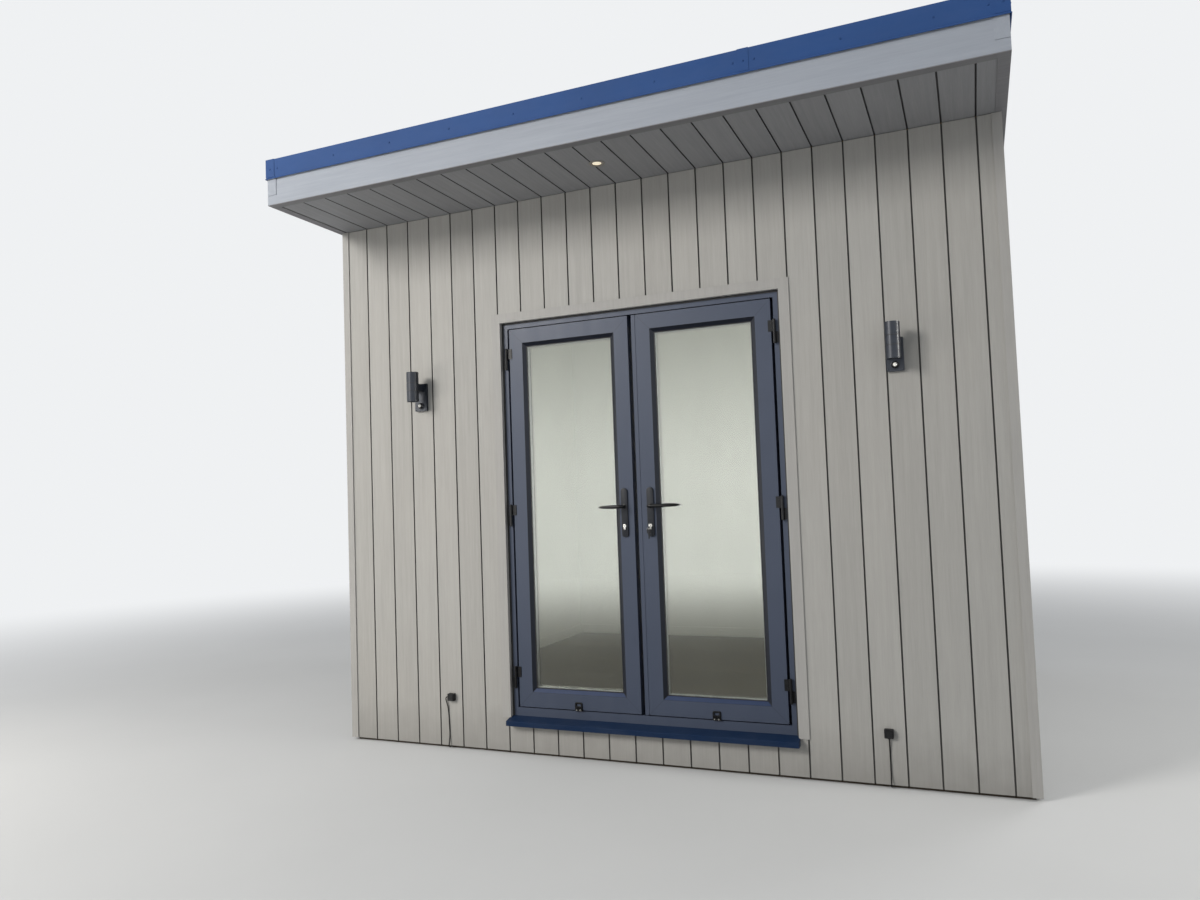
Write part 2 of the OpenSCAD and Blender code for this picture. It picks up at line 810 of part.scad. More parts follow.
// The grip of a lever, which tapers to its tip and points to -X
module grip() {
    root_r = 9.5;
    tip_r = 5;
    grip_t = 13;
    root_w = 15;
    tip_w = 9;
    run = lever_l - tip_r;
    rotate([90, 0, 0]) linear_extrude(grip_t, center = true) union() {
        circle(root_r);
        translate([-run, 0]) circle(tip_r);
        polygon([[0, root_w / 2], [0, -root_w / 2], [-run, -tip_w / 2], [-run, tip_w / 2]]);
    }
}

// Both levers of a leaf on their common spindle
module lever_set(x, s) {
    hub_r = 8;
    front = leaf_y - plate_t;
    back = leaf_y + leaf_t + plate_t;
    neck = lever_out - 1;
    color(black_col) at_doors() translate([x, 0, spindle_z]) mirror([s > 0 ? 1 : 0, 0, 0]) {
        translate([0, front - lever_out, 0]) rotate([-90, 0, 0])
            cylinder(r = spindle_r, h = back - front + 2 * lever_out);
        translate([0, front - lever_out, 0]) rotate([-90, 0, 0]) cylinder(r = hub_r, h = neck);
        translate([0, back + 1, 0]) rotate([-90, 0, 0]) cylinder(r = hub_r, h = neck);
        translate([0, front - lever_out, 0]) grip();
        translate([0, back + lever_out, 0]) grip();
    }
}

module left_lever() {
    lever_set(handle_left_x, -1);
}

module right_lever() {
    lever_set(handle_right_x, 1);
}

// Wall lights: a back plate, an arm and a tube with two band joints. Both ends of the tube are recessed.
plate_out = 16;

module wall_light(x) {
    back_w = 77;
    back_h = 154;
    back_r = 5;
    plate_below = 52;
    arm_w = 44;
    arm_h = 40;
    shell = 4;
    recess = 14;
    slot_t = 3;
    band = (light_h - arm_h) / 2 - slot_t;
    in_r = light_r - shell;
    slot_r = light_r - 2;
    far = light_h - band;
    translate([x, front_y, light_z - plate_below]) rounded_plate(back_w, back_h, plate_out, back_r);
    translate([x - arm_w / 2, front_y - light_out, light_z - arm_h / 2]) cube([arm_w, light_out, arm_h]);
    translate([x, front_y - light_out, light_z - light_h / 2]) rotate_extrude()
        polygon([[0, recess], [in_r, recess], [in_r, 0], [light_r, 0], [light_r, band], [slot_r, band],
            [slot_r, band + slot_t], [light_r, band + slot_t], [light_r, far - slot_t],
            [slot_r, far - slot_t], [slot_r, far], [light_r, far], [light_r, light_h], [in_r, light_h],
            [in_r, light_h - recess], [0, light_h - recess]]);
}

module wall_lights() {
    color(black_col) for (s = [-1, 1]) wall_light(door_x + s * light_in);
}

module light_sensors() {
    sensor_r = 17;
    sensor_below = 100;
    color(white_col) for (s = [-1, 1])
        translate([door_x + s * light_in, front_y - plate_out, light_z - sensor_below]) intersection() {
            sphere(r = sensor_r);
            translate([-sensor_r - 1, -sensor_r - 1, -sensor_r - 1])
                cube([2 * sensor_r + 2, sensor_r + 1, 2 * sensor_r + 2]);
        }
}

// Cable outlets

module outlet_box(x, z) {
    translate([x, front_y, z]) rounded_plate(outlet_size, outlet_size, outlet_t, 4);
}

module cable_outlets() {
    color(black_col) {
        outlet_box(outlet_left_x, outlet_left_z);
        outlet_box(outlet_right_x, outlet_right_z);
    }
}

function unit(v) = v / norm(v);

// Rings of a tube swept along a path, square to it and turned alike from a direction that no cable runs in
ring_ref = [1, -1, 0];
function tube_rings(path, r, sides) = [for (i = [0 : len(path) - 1])
    let (t = unit(path[min(i + 1, len(path) - 1)] - path[max(i - 1, 0)]),
        side = unit(cross(ring_ref, t)),
        up = cross(t, side))
    for (k = [0 : sides - 1]) path[i] + r * (cos(360 * k / sides) * side + sin(360 * k / sides) * up)];

module tube(path, r, sides = 8) {
    n = len(path);
    ends = [[for (k = [0 : sides - 1]) k], [for (k = [sides - 1 : -1 : 0]) (n - 1) * sides + k]];
    walls = [for (i = [0 : n - 2], k = [0 : sides - 1])
        [i * sides + k, (i + 1) * sides + k, (i + 1) * sides + (k + 1) % sides, i * sides + (k + 1) % sides]];
    polyhedron(tube_rings(path, r, sides), concat(ends, walls));
}

// Last points of a cable that hangs from a box at height z: down the cladding and in under it to the bearer
cable_lie = -cable_r - 0.2;
cable_run = foot_gap - 8;
cable_turn = [[cable_lie, 103], [cable_lie, 73], [cable_lie - 1.3, 55], [-7.5, 39], [-10.5, 25], [-12, 12],
    [-11.1, 7.4], [-8.5, 3.5], [-4.6, 0.9], [0, 0], [8, 0], [board_t, 0]];
function cable_foot(x, z) = [for (p = cable_turn) [x, p[0], cable_run + p[1] - z]];

// The right cable drops straight from its box
cable_exit = outlet_size / 2;
right_route = concat([[0, -8, -cable_exit], [0, -8, -34], [0, -7, -50], [0, -4.6, -68], [0, cable_lie, -90],
    [0, cable_lie, -110]], cable_foot(0, outlet_right_z));
// The left cable leaves the side of its box in a small bow before it drops
left_route = concat([[-cable_exit, -8, 0], [-27, -8, 0], [-33, -8, -1.6], [-37.4, -8, -6], [-39, -8, -12],
    [-37.6, -8, -19], [-34.8, -7.8, -28], [-31.6, -7.2, -39], [-29, -6, -51], [-27.2, -4.8, -65],
    [-26, -3.8, -81], [-25, cable_lie, -100], [-24, cable_lie, -125], [-23, cable_lie, -148]],
    cable_foot(-22, outlet_left_z));

module left_cable() {
    color(black_col) translate([outlet_left_x, front_y, outlet_left_z]) tube(left_route, cable_r);
}

module right_cable() {
    color(black_col) translate([outlet_right_x, front_y, outlet_right_z]) tube(right_route, cable_r);
}

base_bearers();
side_bearers();
floor_deck();
floor_boards();
front_wall_left();
front_wall_right();
front_wall_head();
left_wall();
right_wall();
back_wall();
inner_lining();
ceiling();
skirting();
front_cladding();
left_cladding();
right_cladding();
back_cladding();
corner_trims();
door_surround();
roof_deck();
roof_membrane();
soffit_boards();
fascia_front();
fascia_left();
fascia_right();
fascia_back();
eaves_trims();
fascia_corner_trims();
roof_edge_trims();
roof_edge_clips();
downlight();
door_frame_head();
door_frame_left();
door_frame_right();
door_threshold();
door_sill();
frame_hinges();
left_leaf();
left_glass();
left_hinges();
left_handle_plates();
left_lever();
right_leaf();
right_glass();
right_hinges();
right_handle_plates();
right_lever();
meeting_strip();
wall_lights();
light_sensors();
cable_outlets();
left_cable();
right_cable();
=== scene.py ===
"""Garden office pod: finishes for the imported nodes, and the fine pieces that the nodes leave out."""

import logging
import math
from dataclasses import dataclass
from enum import Enum
from typing import Callable, Optional, Sequence, Union

import bmesh
import bpy
from mathutils import Matrix, Vector


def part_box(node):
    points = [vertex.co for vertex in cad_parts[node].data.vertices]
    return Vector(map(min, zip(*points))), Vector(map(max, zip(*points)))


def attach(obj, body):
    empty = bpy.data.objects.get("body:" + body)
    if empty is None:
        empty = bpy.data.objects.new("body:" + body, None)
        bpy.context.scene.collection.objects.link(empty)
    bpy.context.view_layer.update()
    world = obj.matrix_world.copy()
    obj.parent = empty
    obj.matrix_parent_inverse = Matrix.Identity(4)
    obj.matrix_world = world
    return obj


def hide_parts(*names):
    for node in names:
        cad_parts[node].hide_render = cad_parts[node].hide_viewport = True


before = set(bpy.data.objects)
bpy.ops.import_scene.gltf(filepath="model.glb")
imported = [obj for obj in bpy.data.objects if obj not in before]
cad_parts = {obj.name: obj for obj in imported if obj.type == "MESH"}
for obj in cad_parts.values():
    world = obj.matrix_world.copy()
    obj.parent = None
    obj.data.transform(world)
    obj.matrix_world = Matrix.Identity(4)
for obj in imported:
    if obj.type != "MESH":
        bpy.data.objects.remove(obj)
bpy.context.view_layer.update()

log = logging.getLogger("garden_pod")

Pair = tuple[float, float]
Triple = tuple[float, float, float]
Colour = tuple[float, float, float, float]
Value = Union[float, "Signal"]

FRONT = -1.222
DOOR_X = 0.018
LEAF_FACE = -1.207
LEAF_BACK = -1.151
SPINDLE_Z = 1.291
LIGHT_Z = 1.992
STILE = 0.078
LIGHT_OFF = 1.274

# The least part of a direction that counts as along an axis, and the range that a noise usually keeps to
ALONG = 0.9
NOISE_LOW = 0.3
NOISE_HIGH = 0.7
WELD = 0.00001
SMOOTH = 40.0


class Axis(Enum):
    """Axes of the frame, with their place in a vector."""

    X = 0
    Y = 1
    Z = 2

    def vector(self, length: float = 1.0, rest: float = 0.0) -> Vector:
        """Returns a vector with one length along the axis and another along the others."""
        return Vector([length if axis is self else rest for axis in Axis])


class Pick(Enum):
    """What a shaping step selects."""

    FACES = "FACE"
    EDGES = "EDGE"


class Hand(Enum):
    """The two leaves, with the sign of the way their levers point."""

    LEFT = -1
    RIGHT = 1

    @property
    def word(self) -> str:
        """The leaf's word in the names of bodies and nodes."""
        return self.name.lower()


def shade(red: float, green: float, blue: float) -> Colour:
    """Turns a colour as seen on a screen, 0 to 255, into the linear one that shaders take.

    Args:
        red: Red part.
        green: Green part.
        blue: Blue part.

    Returns:
        The linear colour with full alpha.
    """
    parts = [c / 255 for c in (red, green, blue)]
    linear = [c / 12.92 if c <= 0.04045 else ((c + 0.055) / 1.055) ** 2.4 for c in parts]
    return (linear[0], linear[1], linear[2], 1.0)


class Signal:
    """A value or colour in a node tree, which sums take like a number."""

    def __init__(self, nodes: "Nodes", socket: Optional[bpy.types.NodeSocket]) -> None:
        """Keeps the socket and the tree that it belongs to."""
        self.nodes, self.socket = nodes, socket

    def math(self, operation: str, other: Value = 0.0) -> "Signal":
        """Returns the result of a math step on this value and another."""
        return self.nodes.add("Math", {0: self, 1: other}, operation=operation)

    def __add__(self, other: Value) -> "Signal":
        """Returns the sum."""
        return self.math("ADD", other)

    def __sub__(self, other: Value) -> "Signal":
        """Returns the difference."""
        return self.math("SUBTRACT", other)

    def __mul__(self, other: Value) -> "Signal":
        """Returns the product."""
        return self.math("MULTIPLY", other)

    def __truediv__(self, other: Value) -> "Signal":
        """Returns the quotient."""
        return self.math("DIVIDE", other)

    def __abs__(self) -> "Signal":
        """Returns the value without its sign."""
        return self.math("ABSOLUTE")

    def most(self, other: "Signal") -> "Signal":
        """Returns the larger of two values."""
        return self.math("MAXIMUM", other)

    def span(self, low: float, high: float, start: float = 0.0, end: float = 1.0, **settings: str) -> "Signal":
        """Returns the value mapped from low..high to start..end, and kept within them."""
        return self.nodes.add("MapRange", {0: self, 1: low, 2: high, 3: start, 4: end}, **settings)

    def level(self, start: float, end: float) -> "Signal":
        """Returns a noise's usual range mapped to start..end."""
        return self.span(NOISE_LOW, NOISE_HIGH, start, end)

    def off_middle(self) -> "Signal":
        """Returns how far the value is from the middle between two whole numbers."""
        return abs(self.math("FRACT") - 0.5)


class Nodes:
    """A node tree, with a short method for each kind of step."""

    def __init__(self, tree: bpy.types.NodeTree, place: str = "Object") -> None:
        """Empties a tree and reads the place in it.

        Args:
            tree: The node tree.
            place: Kind of its coordinates.
        """
        self.tree = tree
        tree.nodes.clear()
        self.place = self.add("TexCoord", out=place)

    def add(self, kind: str, inputs: Optional[dict] = None, out: Union[int, str] = 0,
            **settings: object) -> Signal:
        """Adds a node.

        Args:
            kind: Node type without its first words.
            inputs: Values or signals for its inputs, by name or number.
            out: Name or number of the output that is wanted.
            settings: Properties of the node.

        Returns:
            The signal of that output.
        """
        node = self.tree.nodes.new("ShaderNode" + kind)
        for key, value in settings.items():
            setattr(node, key, value)
        for key, value in (inputs or {}).items():
            if isinstance(value, Signal):
                self.tree.links.new(value.socket, node.inputs[key])
            else:
                node.inputs[key].default_value = value
        return Signal(self, node.outputs[out] if node.outputs else None)

    def part(self, axis: Axis) -> Signal:
        """Returns one coordinate of the place on the object."""
        return self.add("SeparateXYZ", {0: self.place}, axis.value)

    def ray(self, kind: str) -> Signal:
        """Returns one for the rays of a kind, and zero for the others."""
        return self.add("LightPath", out=f"Is {kind} Ray")

    def noise(self, scale: Union[float, Triple], detail: float = 3.0, rough: float = 0.55,
              at: Optional[Sequence[Value]] = None) -> Signal:
        """Returns a noise value from 0 to 1.

        Args:
            scale: Waves in a metre, the same along all axes or one for each.
            detail: Number of its finer layers.
            rough: Strength of its finer layers.
            at: Three values that it is read at, in place of the place on the object.

        Returns:
            The noise.
        """
        where = self.place
        if at is not None:
            where = self.add("CombineXYZ", dict(enumerate(at)))
        elif not isinstance(scale, float):
            where, scale = self.add("Mapping", {"Vector": where, "Scale": scale}), 1.0
        return self.add("TexNoise", {"Vector": where, "Scale": scale, "Detail": detail, "Roughness": rough})

    def chance(self, value: Signal) -> Signal:
        """Returns a random value from 0 to 1 that is fixed for each whole number."""
        return self.add("TexWhiteNoise", {"W": value}, noise_dimensions="1D")

    def mix(self, factor: Signal, a: Union[Colour, Signal], b: Union[Colour, Signal]) -> Signal:
        """Returns a colour between two colours."""
        return self.add("Mix", {0: factor, 6: a, 7: b}, 2, data_type="RGBA")

    def dim(self, colour: Union[Colour, Signal], by: Signal) -> Signal:
        """Returns a colour times a value."""
        start = colour if isinstance(colour, Signal) else colour[:3]
        return self.add("VectorMath", {0: start, "Scale": by}, operation="SCALE")

    def bump(self, height: Signal, strength: float, depth: float, normal: Optional[Signal] = None) -> Signal:
        """Returns a normal with a height pattern pressed into it."""
        inputs = {"Height": height, "Strength": strength, "Distance": depth}
        return self.add("Bump", inputs if normal is None else {**inputs, "Normal": normal})


class Recipe(Nodes):
    """The node tree of one material."""

    def __init__(self, name: str) -> None:
        """Starts an empty material.

        Args:
            name: Name of the material.
        """
        self.material = bpy.data.materials.new(name)
        self.material.use_nodes = True
        super().__init__(self.material.node_tree)

    def close(self, shader: Signal) -> bpy.types.Material:
        """Joins the surface to the output and returns the material."""
        self.add("OutputMaterial", {"Surface": shader})
        return self.material

    def surface(self, colour: Signal, roughness: Signal, normal: Signal,
                **constants: object) -> bpy.types.Material:
        """Closes the material with one main shader.

        Args:
            colour: Its base colour.
            roughness: Its roughness.
            normal: Its normal.
            constants: Further inputs with underscores for the spaces of their names.

        Returns:
            The material.
        """
        inputs = {"Base Color": colour, "Roughness": roughness, "Normal": normal}
        inputs.update({key.replace("_", " "): value for key, value in constants.items()})
        return self.close(self.add("BsdfPrincipled", inputs))


@dataclass(frozen=True)
class Finish:
    """A named finish with a slot name for its pieces, which nothing here hands on. Each kind says how its material
    is made.
    """

    name: str
    colour: Colour
    slot: str = ""

    def material(self) -> bpy.types.Material:
        """Returns the finish's material, made at its first use."""
        return bpy.data.materials.get(self.name) or self.make(Recipe(self.name))

    def make(self, recipe: Recipe) -> bpy.types.Material:
        """Makes the material from an empty recipe."""
        raise NotImplementedError


@dataclass(frozen=True)
class BoardFinish(Finish):
    """Composite boards: brushed grain along them, and a tone of its own for each board."""

    across: Axis = Axis.X
    run: Axis = Axis.Z
    start: float = -1.6165
    pitch: float = 0.1435
    spread: float = 0.035
    contrast: float = 0.08
    relief: float = 0.0004
    splash: float = 0.0
    groove: float = 0.0
    groove_light: float = 0.22

    def tone(self, recipe: Recipe) -> Signal:
        """Returns the boards' colour before their grain, a little cooler in places."""
        red, green, blue, alpha = self.colour
        return recipe.mix(recipe.noise(0.9, 2.0), self.colour, (red * 0.97, green, blue * 1.03, alpha))

    def make(self, recipe: Recipe) -> bpy.types.Material:
        """Makes the material.

        Args:
            recipe: An empty recipe.

        Returns:
            The material.
        """
        across, run = recipe.part(self.across), recipe.part(self.run)
        third = recipe.part(next(a for a in Axis if a not in (self.across, self.run)))
        count = (across - self.start) / self.pitch
        own = recipe.chance(count.math("FLOOR"))
        along = run * 2.4 + own * 60.0
        coarse = recipe.noise(1.0, 5.0, 0.62, (across * 70.0, third * 70.0, along))
        fine = recipe.noise(1.0, 3.0, 0.6, (across * 420.0, third * 420.0, along * 5.0))
        grain = coarse * 0.62 + fine * 0.38
        light = grain.level(1.0 - self.contrast, 1.0 + self.contrast)
        light = light * own.span(0.0, 1.0, 1.0 - self.spread, 1.0 + self.spread)
        light = light * recipe.noise(1.6, 3.0, 0.5).level(0.98, 1.02)
        if self.groove:
            edge = 0.5 - self.groove / self.pitch
            light = light * count.off_middle().span(edge - 0.002, edge, 1.0, self.groove_light)
        colour = recipe.dim(self.tone(recipe), light)
        if self.splash:
            height = recipe.part(Axis.Z) + recipe.noise(9.0, 4.0) * -0.2
            soiled = tuple(c * 0.55 for c in self.colour[:3]) + (1.0,)
            colour = recipe.mix(height.span(-0.1, 0.16, self.splash, 0.0), colour, soiled)
        return recipe.surface(colour, grain.level(0.72, 0.56), recipe.bump(grain, 0.55, self.relief),
                              Specular_IOR_Level=0.35)


@dataclass(frozen=True)
class EavesFinish(BoardFinish):
    """Trim boards whose leg below the overhang carries painted shade, the darker tone of the shaded soffit boards
    beside it.
    """

    under: float = 2.97
    # Painted shade of the leg under the overhang
    painted_shade: Colour = shade(108, 108, 111)

    def tone(self, recipe: Recipe) -> Signal:
        """Returns the colour before the grain, with painted shade below the leg's upper face."""
        below = recipe.part(Axis.Z).span(self.under, self.under + 0.0004, 1.0, 0.0)
        return recipe.mix(below, super().tone(recipe), self.painted_shade)


@dataclass(frozen=True)
class FoilFinish(Finish):
    """Grained foil on the door profiles: a fine emboss, a soft sheen and faint cloudiness."""

    gloss: float = 0.4
    shine: float = 0.3

    def tone(self, recipe: Recipe) -> Union[Colour, Signal]:
        """Returns the foil's colour before its grain."""
        return self.colour

    def make(self, recipe: Recipe) -> bpy.types.Material:
        """Makes the material.

        Args:
            recipe: An empty recipe.

        Returns:
            The material.
        """
        emboss = recipe.noise((900.0, 900.0, 260.0), 3.0, 0.6)
        wipe = recipe.noise((14.0, 14.0, 1.4), 3.0, 0.6)
        light = emboss.level(0.94, 1.06) * recipe.noise(3.0, 4.0, 0.6).level(0.95, 1.05)
        rough = wipe.level(self.gloss - 0.06, self.gloss + 0.07) + emboss.level(-0.02, 0.02)
        return recipe.surface(recipe.dim(self.tone(recipe), light), rough, recipe.bump(emboss, 0.3, 0.0002),
                              Specular_IOR_Level=self.shine)


@dataclass(frozen=True)
class LeafFoil(FoilFinish):
    """The foil of a leaf, whose glazing beads carry painted shade, with a paler painted reflection on the lowest
    bead, behind a fine joint line.
    """

    middle: Pair = (0.0, 0.0)
    half: Pair = (0.3, 0.9)
    # Painted shade on the upright and upper beads
    bead: Colour = shade(9, 15, 28)
    # Painted sky reflection on the lowest bead, paler and bluer than the others
    sill: Colour = shade(24, 42, 74)
    line: Colour = shade(12, 13, 16)

    def tone(self, recipe: Recipe) -> Signal:
        """Returns the foil's colour, which turns to the beads' painted shade and reflection where they start, and
        darkens along the mitres.

        Args:
            recipe: The material's recipe.

        Returns:
            The colour.
        """
        aside, above = [abs(recipe.part(axis) - middle) - half
                        for axis, middle, half in zip((Axis.X, Axis.Z), self.middle, self.half)]
        past = aside.most(above)
        joint = abs(past).span(0.0004, 0.0010, 0.75, 0.0)
        mitre = abs(aside - above).span(0.0003, 0.0014, 0.6, 0.0)
        lower = recipe.part(Axis.Z).span(self.middle[1], self.middle[1] + 0.001, 1.0, 0.0)
        # The beads: painted shade, with painted reflection on the lowest one
        bead = recipe.mix(lower * (above - aside).span(0.0, 0.001), self.bead, self.sill)
        foil = recipe.mix(past.span(-0.0004, 0.0004, 1.0, 0.0), self.colour, bead)
        return recipe.mix(joint.most(mitre), foil, self.line)


@dataclass(frozen=True)
class CoatedMetal(Finish):
    """Coated metal: a fine orange peel, slow waves of the sheet and thin dust."""

    gloss: float = 0.42
    peel: float = 700.0
    dust: float = 0.025
    wave: float = 0.0015
    metallic: float = 0.0
    shine: float = 0.3

    def light(self, recipe: Recipe) -> Signal:
        """Returns the share of light that the colour keeps along the sheet's slow waves."""
        return recipe.noise(3.2, 2.0, 0.5).level(0.94, 1.06)

    def make(self, recipe: Recipe) -> bpy.types.Material:
        """Makes the material.

        Args:
            recipe: An empty recipe.

        Returns:
            The material.
        """
        peel, wave = (recipe.noise(scale, 2.0, 0.5) for scale in (self.peel, 3.2))
        fade = recipe.noise((8.0, 8.0, 22.0), 5.0, 0.65).span(0.35, 0.75, 0.0, self.dust)
        colour = recipe.mix(fade, recipe.dim(self.colour, self.light(recipe)), shade(150, 152, 150))
        rough = peel.level(self.gloss - 0.03, self.gloss + 0.03) + fade * 1.5
        normal = recipe.bump(peel, 0.12, 0.0002, recipe.bump(wave, 0.35, self.wave))
        return recipe.surface(colour, rough, normal, Metallic=self.metallic, Specular_IOR_Level=self.shine)


@dataclass(frozen=True)
class SlottedMetal(CoatedMetal):
    """Coated metal of the lights, black in the two slots round each tube."""

    middle: float = LIGHT_Z
    slot_off: float = 0.0215
    front: float = -1.28

    def light(self, recipe: Recipe) -> Signal:
        """Returns the share of light that the colour keeps, which falls in the slots.

        Args:
            recipe: The material's recipe.

        Returns:
            The share.
        """
        off = abs(abs(recipe.part(Axis.Z) - self.middle) - self.slot_off)
        tube = recipe.part(Axis.Y).span(self.front, self.front + 0.001, 1.0, 0.0)
        dark = tube * off.span(0.0018, 0.0024, 0.9, 0.0)
        return super().light(recipe) * dark.span(0.0, 1.0, 1.0, 0.0)


@dataclass(frozen=True)
class MouldedFinish(Finish):
    """Moulded plastic, rubber or a lamp's cover: a fine matt speckle with worn, paler rubs."""

    gloss: float = 0.5
    speckle: float = 1400.0
    rub: float = 0.05
    shine: float = 0.5

    def make(self, recipe: Recipe) -> bpy.types.Material:
        """Makes the material.

        Args:
            recipe: An empty recipe.

        Returns:
            The material.
        """
        speckle = recipe.noise(self.speckle, 2.0, 0.5)
        worn = recipe.noise(38.0, 5.0, 0.65).span(0.5, 0.8, 0.0, self.rub)
        colour = recipe.mix(worn, recipe.dim(self.colour, speckle.level(0.93, 1.07)), shade(170, 170, 168))
        rough = speckle.level(self.gloss - 0.05, self.gloss + 0.05) + worn * 0.6
        return recipe.surface(colour, rough, recipe.bump(speckle, 0.25, 0.00015), Specular_IOR_Level=self.shine)


@dataclass(frozen=True)
class SheetRubber(Finish):
    """The roof's rubber sheet: matt and dusty, with slow wrinkles and dried puddle marks."""

    puddles: float = 0.10

    def make(self, recipe: Recipe) -> bpy.types.Material:
        """Makes the material.

        Args:
            recipe: An empty recipe.

        Returns:
            The material.
        """
        wrinkle = recipe.noise((2.2, 0.7, 1.0), 4.0, 0.5)
        speckle = recipe.noise(320.0, 3.0, 0.6)
        puddle = recipe.noise(1.4, 7.0, 0.6).span(0.42, 0.72, 0.0, self.puddles)
        colour = recipe.mix(puddle, recipe.dim(self.colour, speckle.level(0.86, 1.14)), shade(150, 148, 142))
        normal = recipe.bump(speckle, 0.3, 0.0006, recipe.bump(wrinkle, 0.5, 0.01))
        return recipe.surface(colour, puddle.span(0.0, self.puddles, 0.72, 0.9), normal)


@dataclass(frozen=True)
class SawnTimber(Finish):
    """Sawn structural timber with its growth rings and saw marks."""

    run: Axis = Axis.Y

    def make(self, recipe: Recipe) -> bpy.types.Material:
        """Makes the material.

        Args:
            recipe: An empty recipe.

        Returns:
            The material.
        """
        grain = recipe.noise(tuple(self.run.vector(1.2, 26.0)), 6.0, 0.68)
        rings = (grain * 7.0).math("FRACT")
        saw = recipe.noise(210.0, 2.0)
        light = rings.span(0.0, 1.0, 0.82, 1.12) * saw.level(0.93, 1.07)
        return recipe.surface(recipe.dim(self.colour, light), saw.level(0.7, 0.86),
                              recipe.bump(rings + saw, 0.3, 0.0008))


@dataclass(frozen=True)
class PaintedBoard(Finish):
    """White painted lining: a roller's stipple, and a faint seam line at each sheet."""

    sheet: float = 1.2

    def make(self, recipe: Recipe) -> bpy.types.Material:
        """Makes the material.

        Args:
            recipe: An empty recipe.

        Returns:
            The material.
        """
        stipple = recipe.noise(420.0, 3.0, 0.6)
        seam = (recipe.part(Axis.Y) / self.sheet).off_middle().span(0.0, 0.004, 0.94, 1.0)
        light = recipe.noise(1.3).level(0.97, 1.03) * seam
        return recipe.surface(recipe.dim(self.colour, light), stipple.level(0.5, 0.64),
                              recipe.bump(stipple, 0.2, 0.0004))


@dataclass(frozen=True)
class LaidFloor(Finish):
    """Laminate planks laid along X in staggered rows, with a bevelled joint and an oak grain."""

    width: float = 0.19
    length: float = 1.28

    def make(self, recipe: Recipe) -> bpy.types.Material:
        """Makes the material.

        Args:
            recipe: An empty recipe.

        Returns:
            The material.
        """
        x, y = recipe.part(Axis.X), recipe.part(Axis.Y)
        row_at = y / self.width
        row = row_at.math("FLOOR")
        end_at = x / self.length + recipe.chance(row) * 3.0
        plank = recipe.chance(row * 17.0 + end_at.math("FLOOR"))
        grain = recipe.noise(1.0, 6.0, 0.65, (x * 3.0 + plank * 40.0, y * 52.0, 0.0))
        joint = row_at.off_middle().span(0.488, 0.5).most(end_at.off_middle().span(0.4982, 0.5))
        light = grain.level(0.78, 1.16) * plank.span(0.0, 1.0, 0.84, 1.14) * joint.span(0.0, 1.0, 1.0, 0.45)
        return recipe.surface(recipe.dim(self.colour, light), grain.level(0.52, 0.66),
                              recipe.bump(grain * 0.2 - joint, 0.5, 0.0012), Specular_IOR_Level=0.12)


@dataclass(frozen=True)
class PaneGlass(Finish):
    """Clear coated glass: see-through, with a mirror sheen that grows at low angles and a film of dust."""

    mirror: float = 0.085

    def make(self, recipe: Recipe) -> bpy.types.Material:
        """Makes the material.

        Args:
            recipe: An empty recipe.

        Returns:
            The material.
        """
        clear = recipe.add("BsdfTransparent", {"Color": self.colour})
        # The mirror's warm tint is partly the coating and partly painted reflection of a warm scene
        glossy = recipe.add("BsdfAnisotropic", {"Color": (1.0, 0.99, 0.93, 1.0), "Roughness": 0.0})
        slant = recipe.add("LayerWeight", {"Blend": 0.5}, "Facing").math("POWER", 5.0)
        both = recipe.add("MixShader", {0: slant.span(0.0, 1.0, self.mirror, 1.0), 1: clear, 2: glossy})
        film = recipe.noise((5.0, 5.0, 2.2), 6.0, 0.65).span(0.35, 0.75, 0.002, 0.016)
        dust = recipe.add("BsdfDiffuse", {"Color": shade(196, 196, 190)})
        return recipe.close(recipe.add("MixShader", {0: film, 1: both, 2: dust}))


@dataclass(frozen=True)
class BrightMetal(Finish):
    """Plated or drawn metal, with fine turning marks and slight tarnish."""

    gloss: float = 0.18

    def make(self, recipe: Recipe) -> bpy.types.Material:
        """Makes the material.

        Args:
            recipe: An empty recipe.

        Returns:
            The material.
        """
        marks = recipe.noise((300.0, 300.0, 2400.0), 2.0)
        tarnish = recipe.noise(120.0, 4.0, 0.6)
        return recipe.surface(recipe.dim(self.colour, tarnish.level(0.86, 1.05)),
                              tarnish.level(self.gloss, self.gloss + 0.14), recipe.bump(marks, 0.2, 0.0001),
                              Metallic=1.0)


@dataclass(frozen=True)
class LampLens(Finish):
    """A lamp's moulded lens: milky, glossy, with fine rings of facets round its own middle."""

    colour: Colour = shade(232, 230, 222)
    slot: str = "lamp_white"
    middle: Triple = (0.0, 0.0, 0.0)
    rings: float = 900.0
    glow: float = 0.0

    def make(self, recipe: Recipe) -> bpy.types.Material:
        """Makes the material.

        Args:
            recipe: An empty recipe.

        Returns:
            The material.
        """
        away = recipe.add("VectorMath", {0: recipe.place, 1: self.middle}, "Value", operation="DISTANCE")
        cloud = recipe.noise(90.0)
        return recipe.surface(recipe.dim(self.colour, cloud.level(0.92, 1.05)), cloud.level(0.12, 0.2),
                              recipe.bump((away * self.rings).math("SINE"), 0.35, 0.0004), Coat_Weight=0.6,
                              Emission_Color=self.colour, Emission_Strength=self.glow)


def leaf_foil(hand: Hand) -> LeafFoil:
    """Returns the foil of one leaf, with its beads where the leaf's box puts them.

    Args:
        hand: The leaf.

    Returns:
        Its foil.
    """
    low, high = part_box(f"{hand.word}_leaf")
    middle, half = (low + high) / 2, (high - low) / 2
    return LeafFoil(f"{hand.word}_leaf_foil", ANTHRACITE, middle=(middle.x, middle.z),
                    half=(half.x - STILE, half.z - STILE))


BOARD_GREY = shade(155, 153, 149)
FASCIA_GREY = shade(144, 149, 158)
ANTHRACITE = shade(59, 67, 84)
GROOVED = {"splash": 0.5, "groove": 0.0036}
PLAIN = {"pitch": 9.0, "spread": 0.01, "contrast": 0.07}

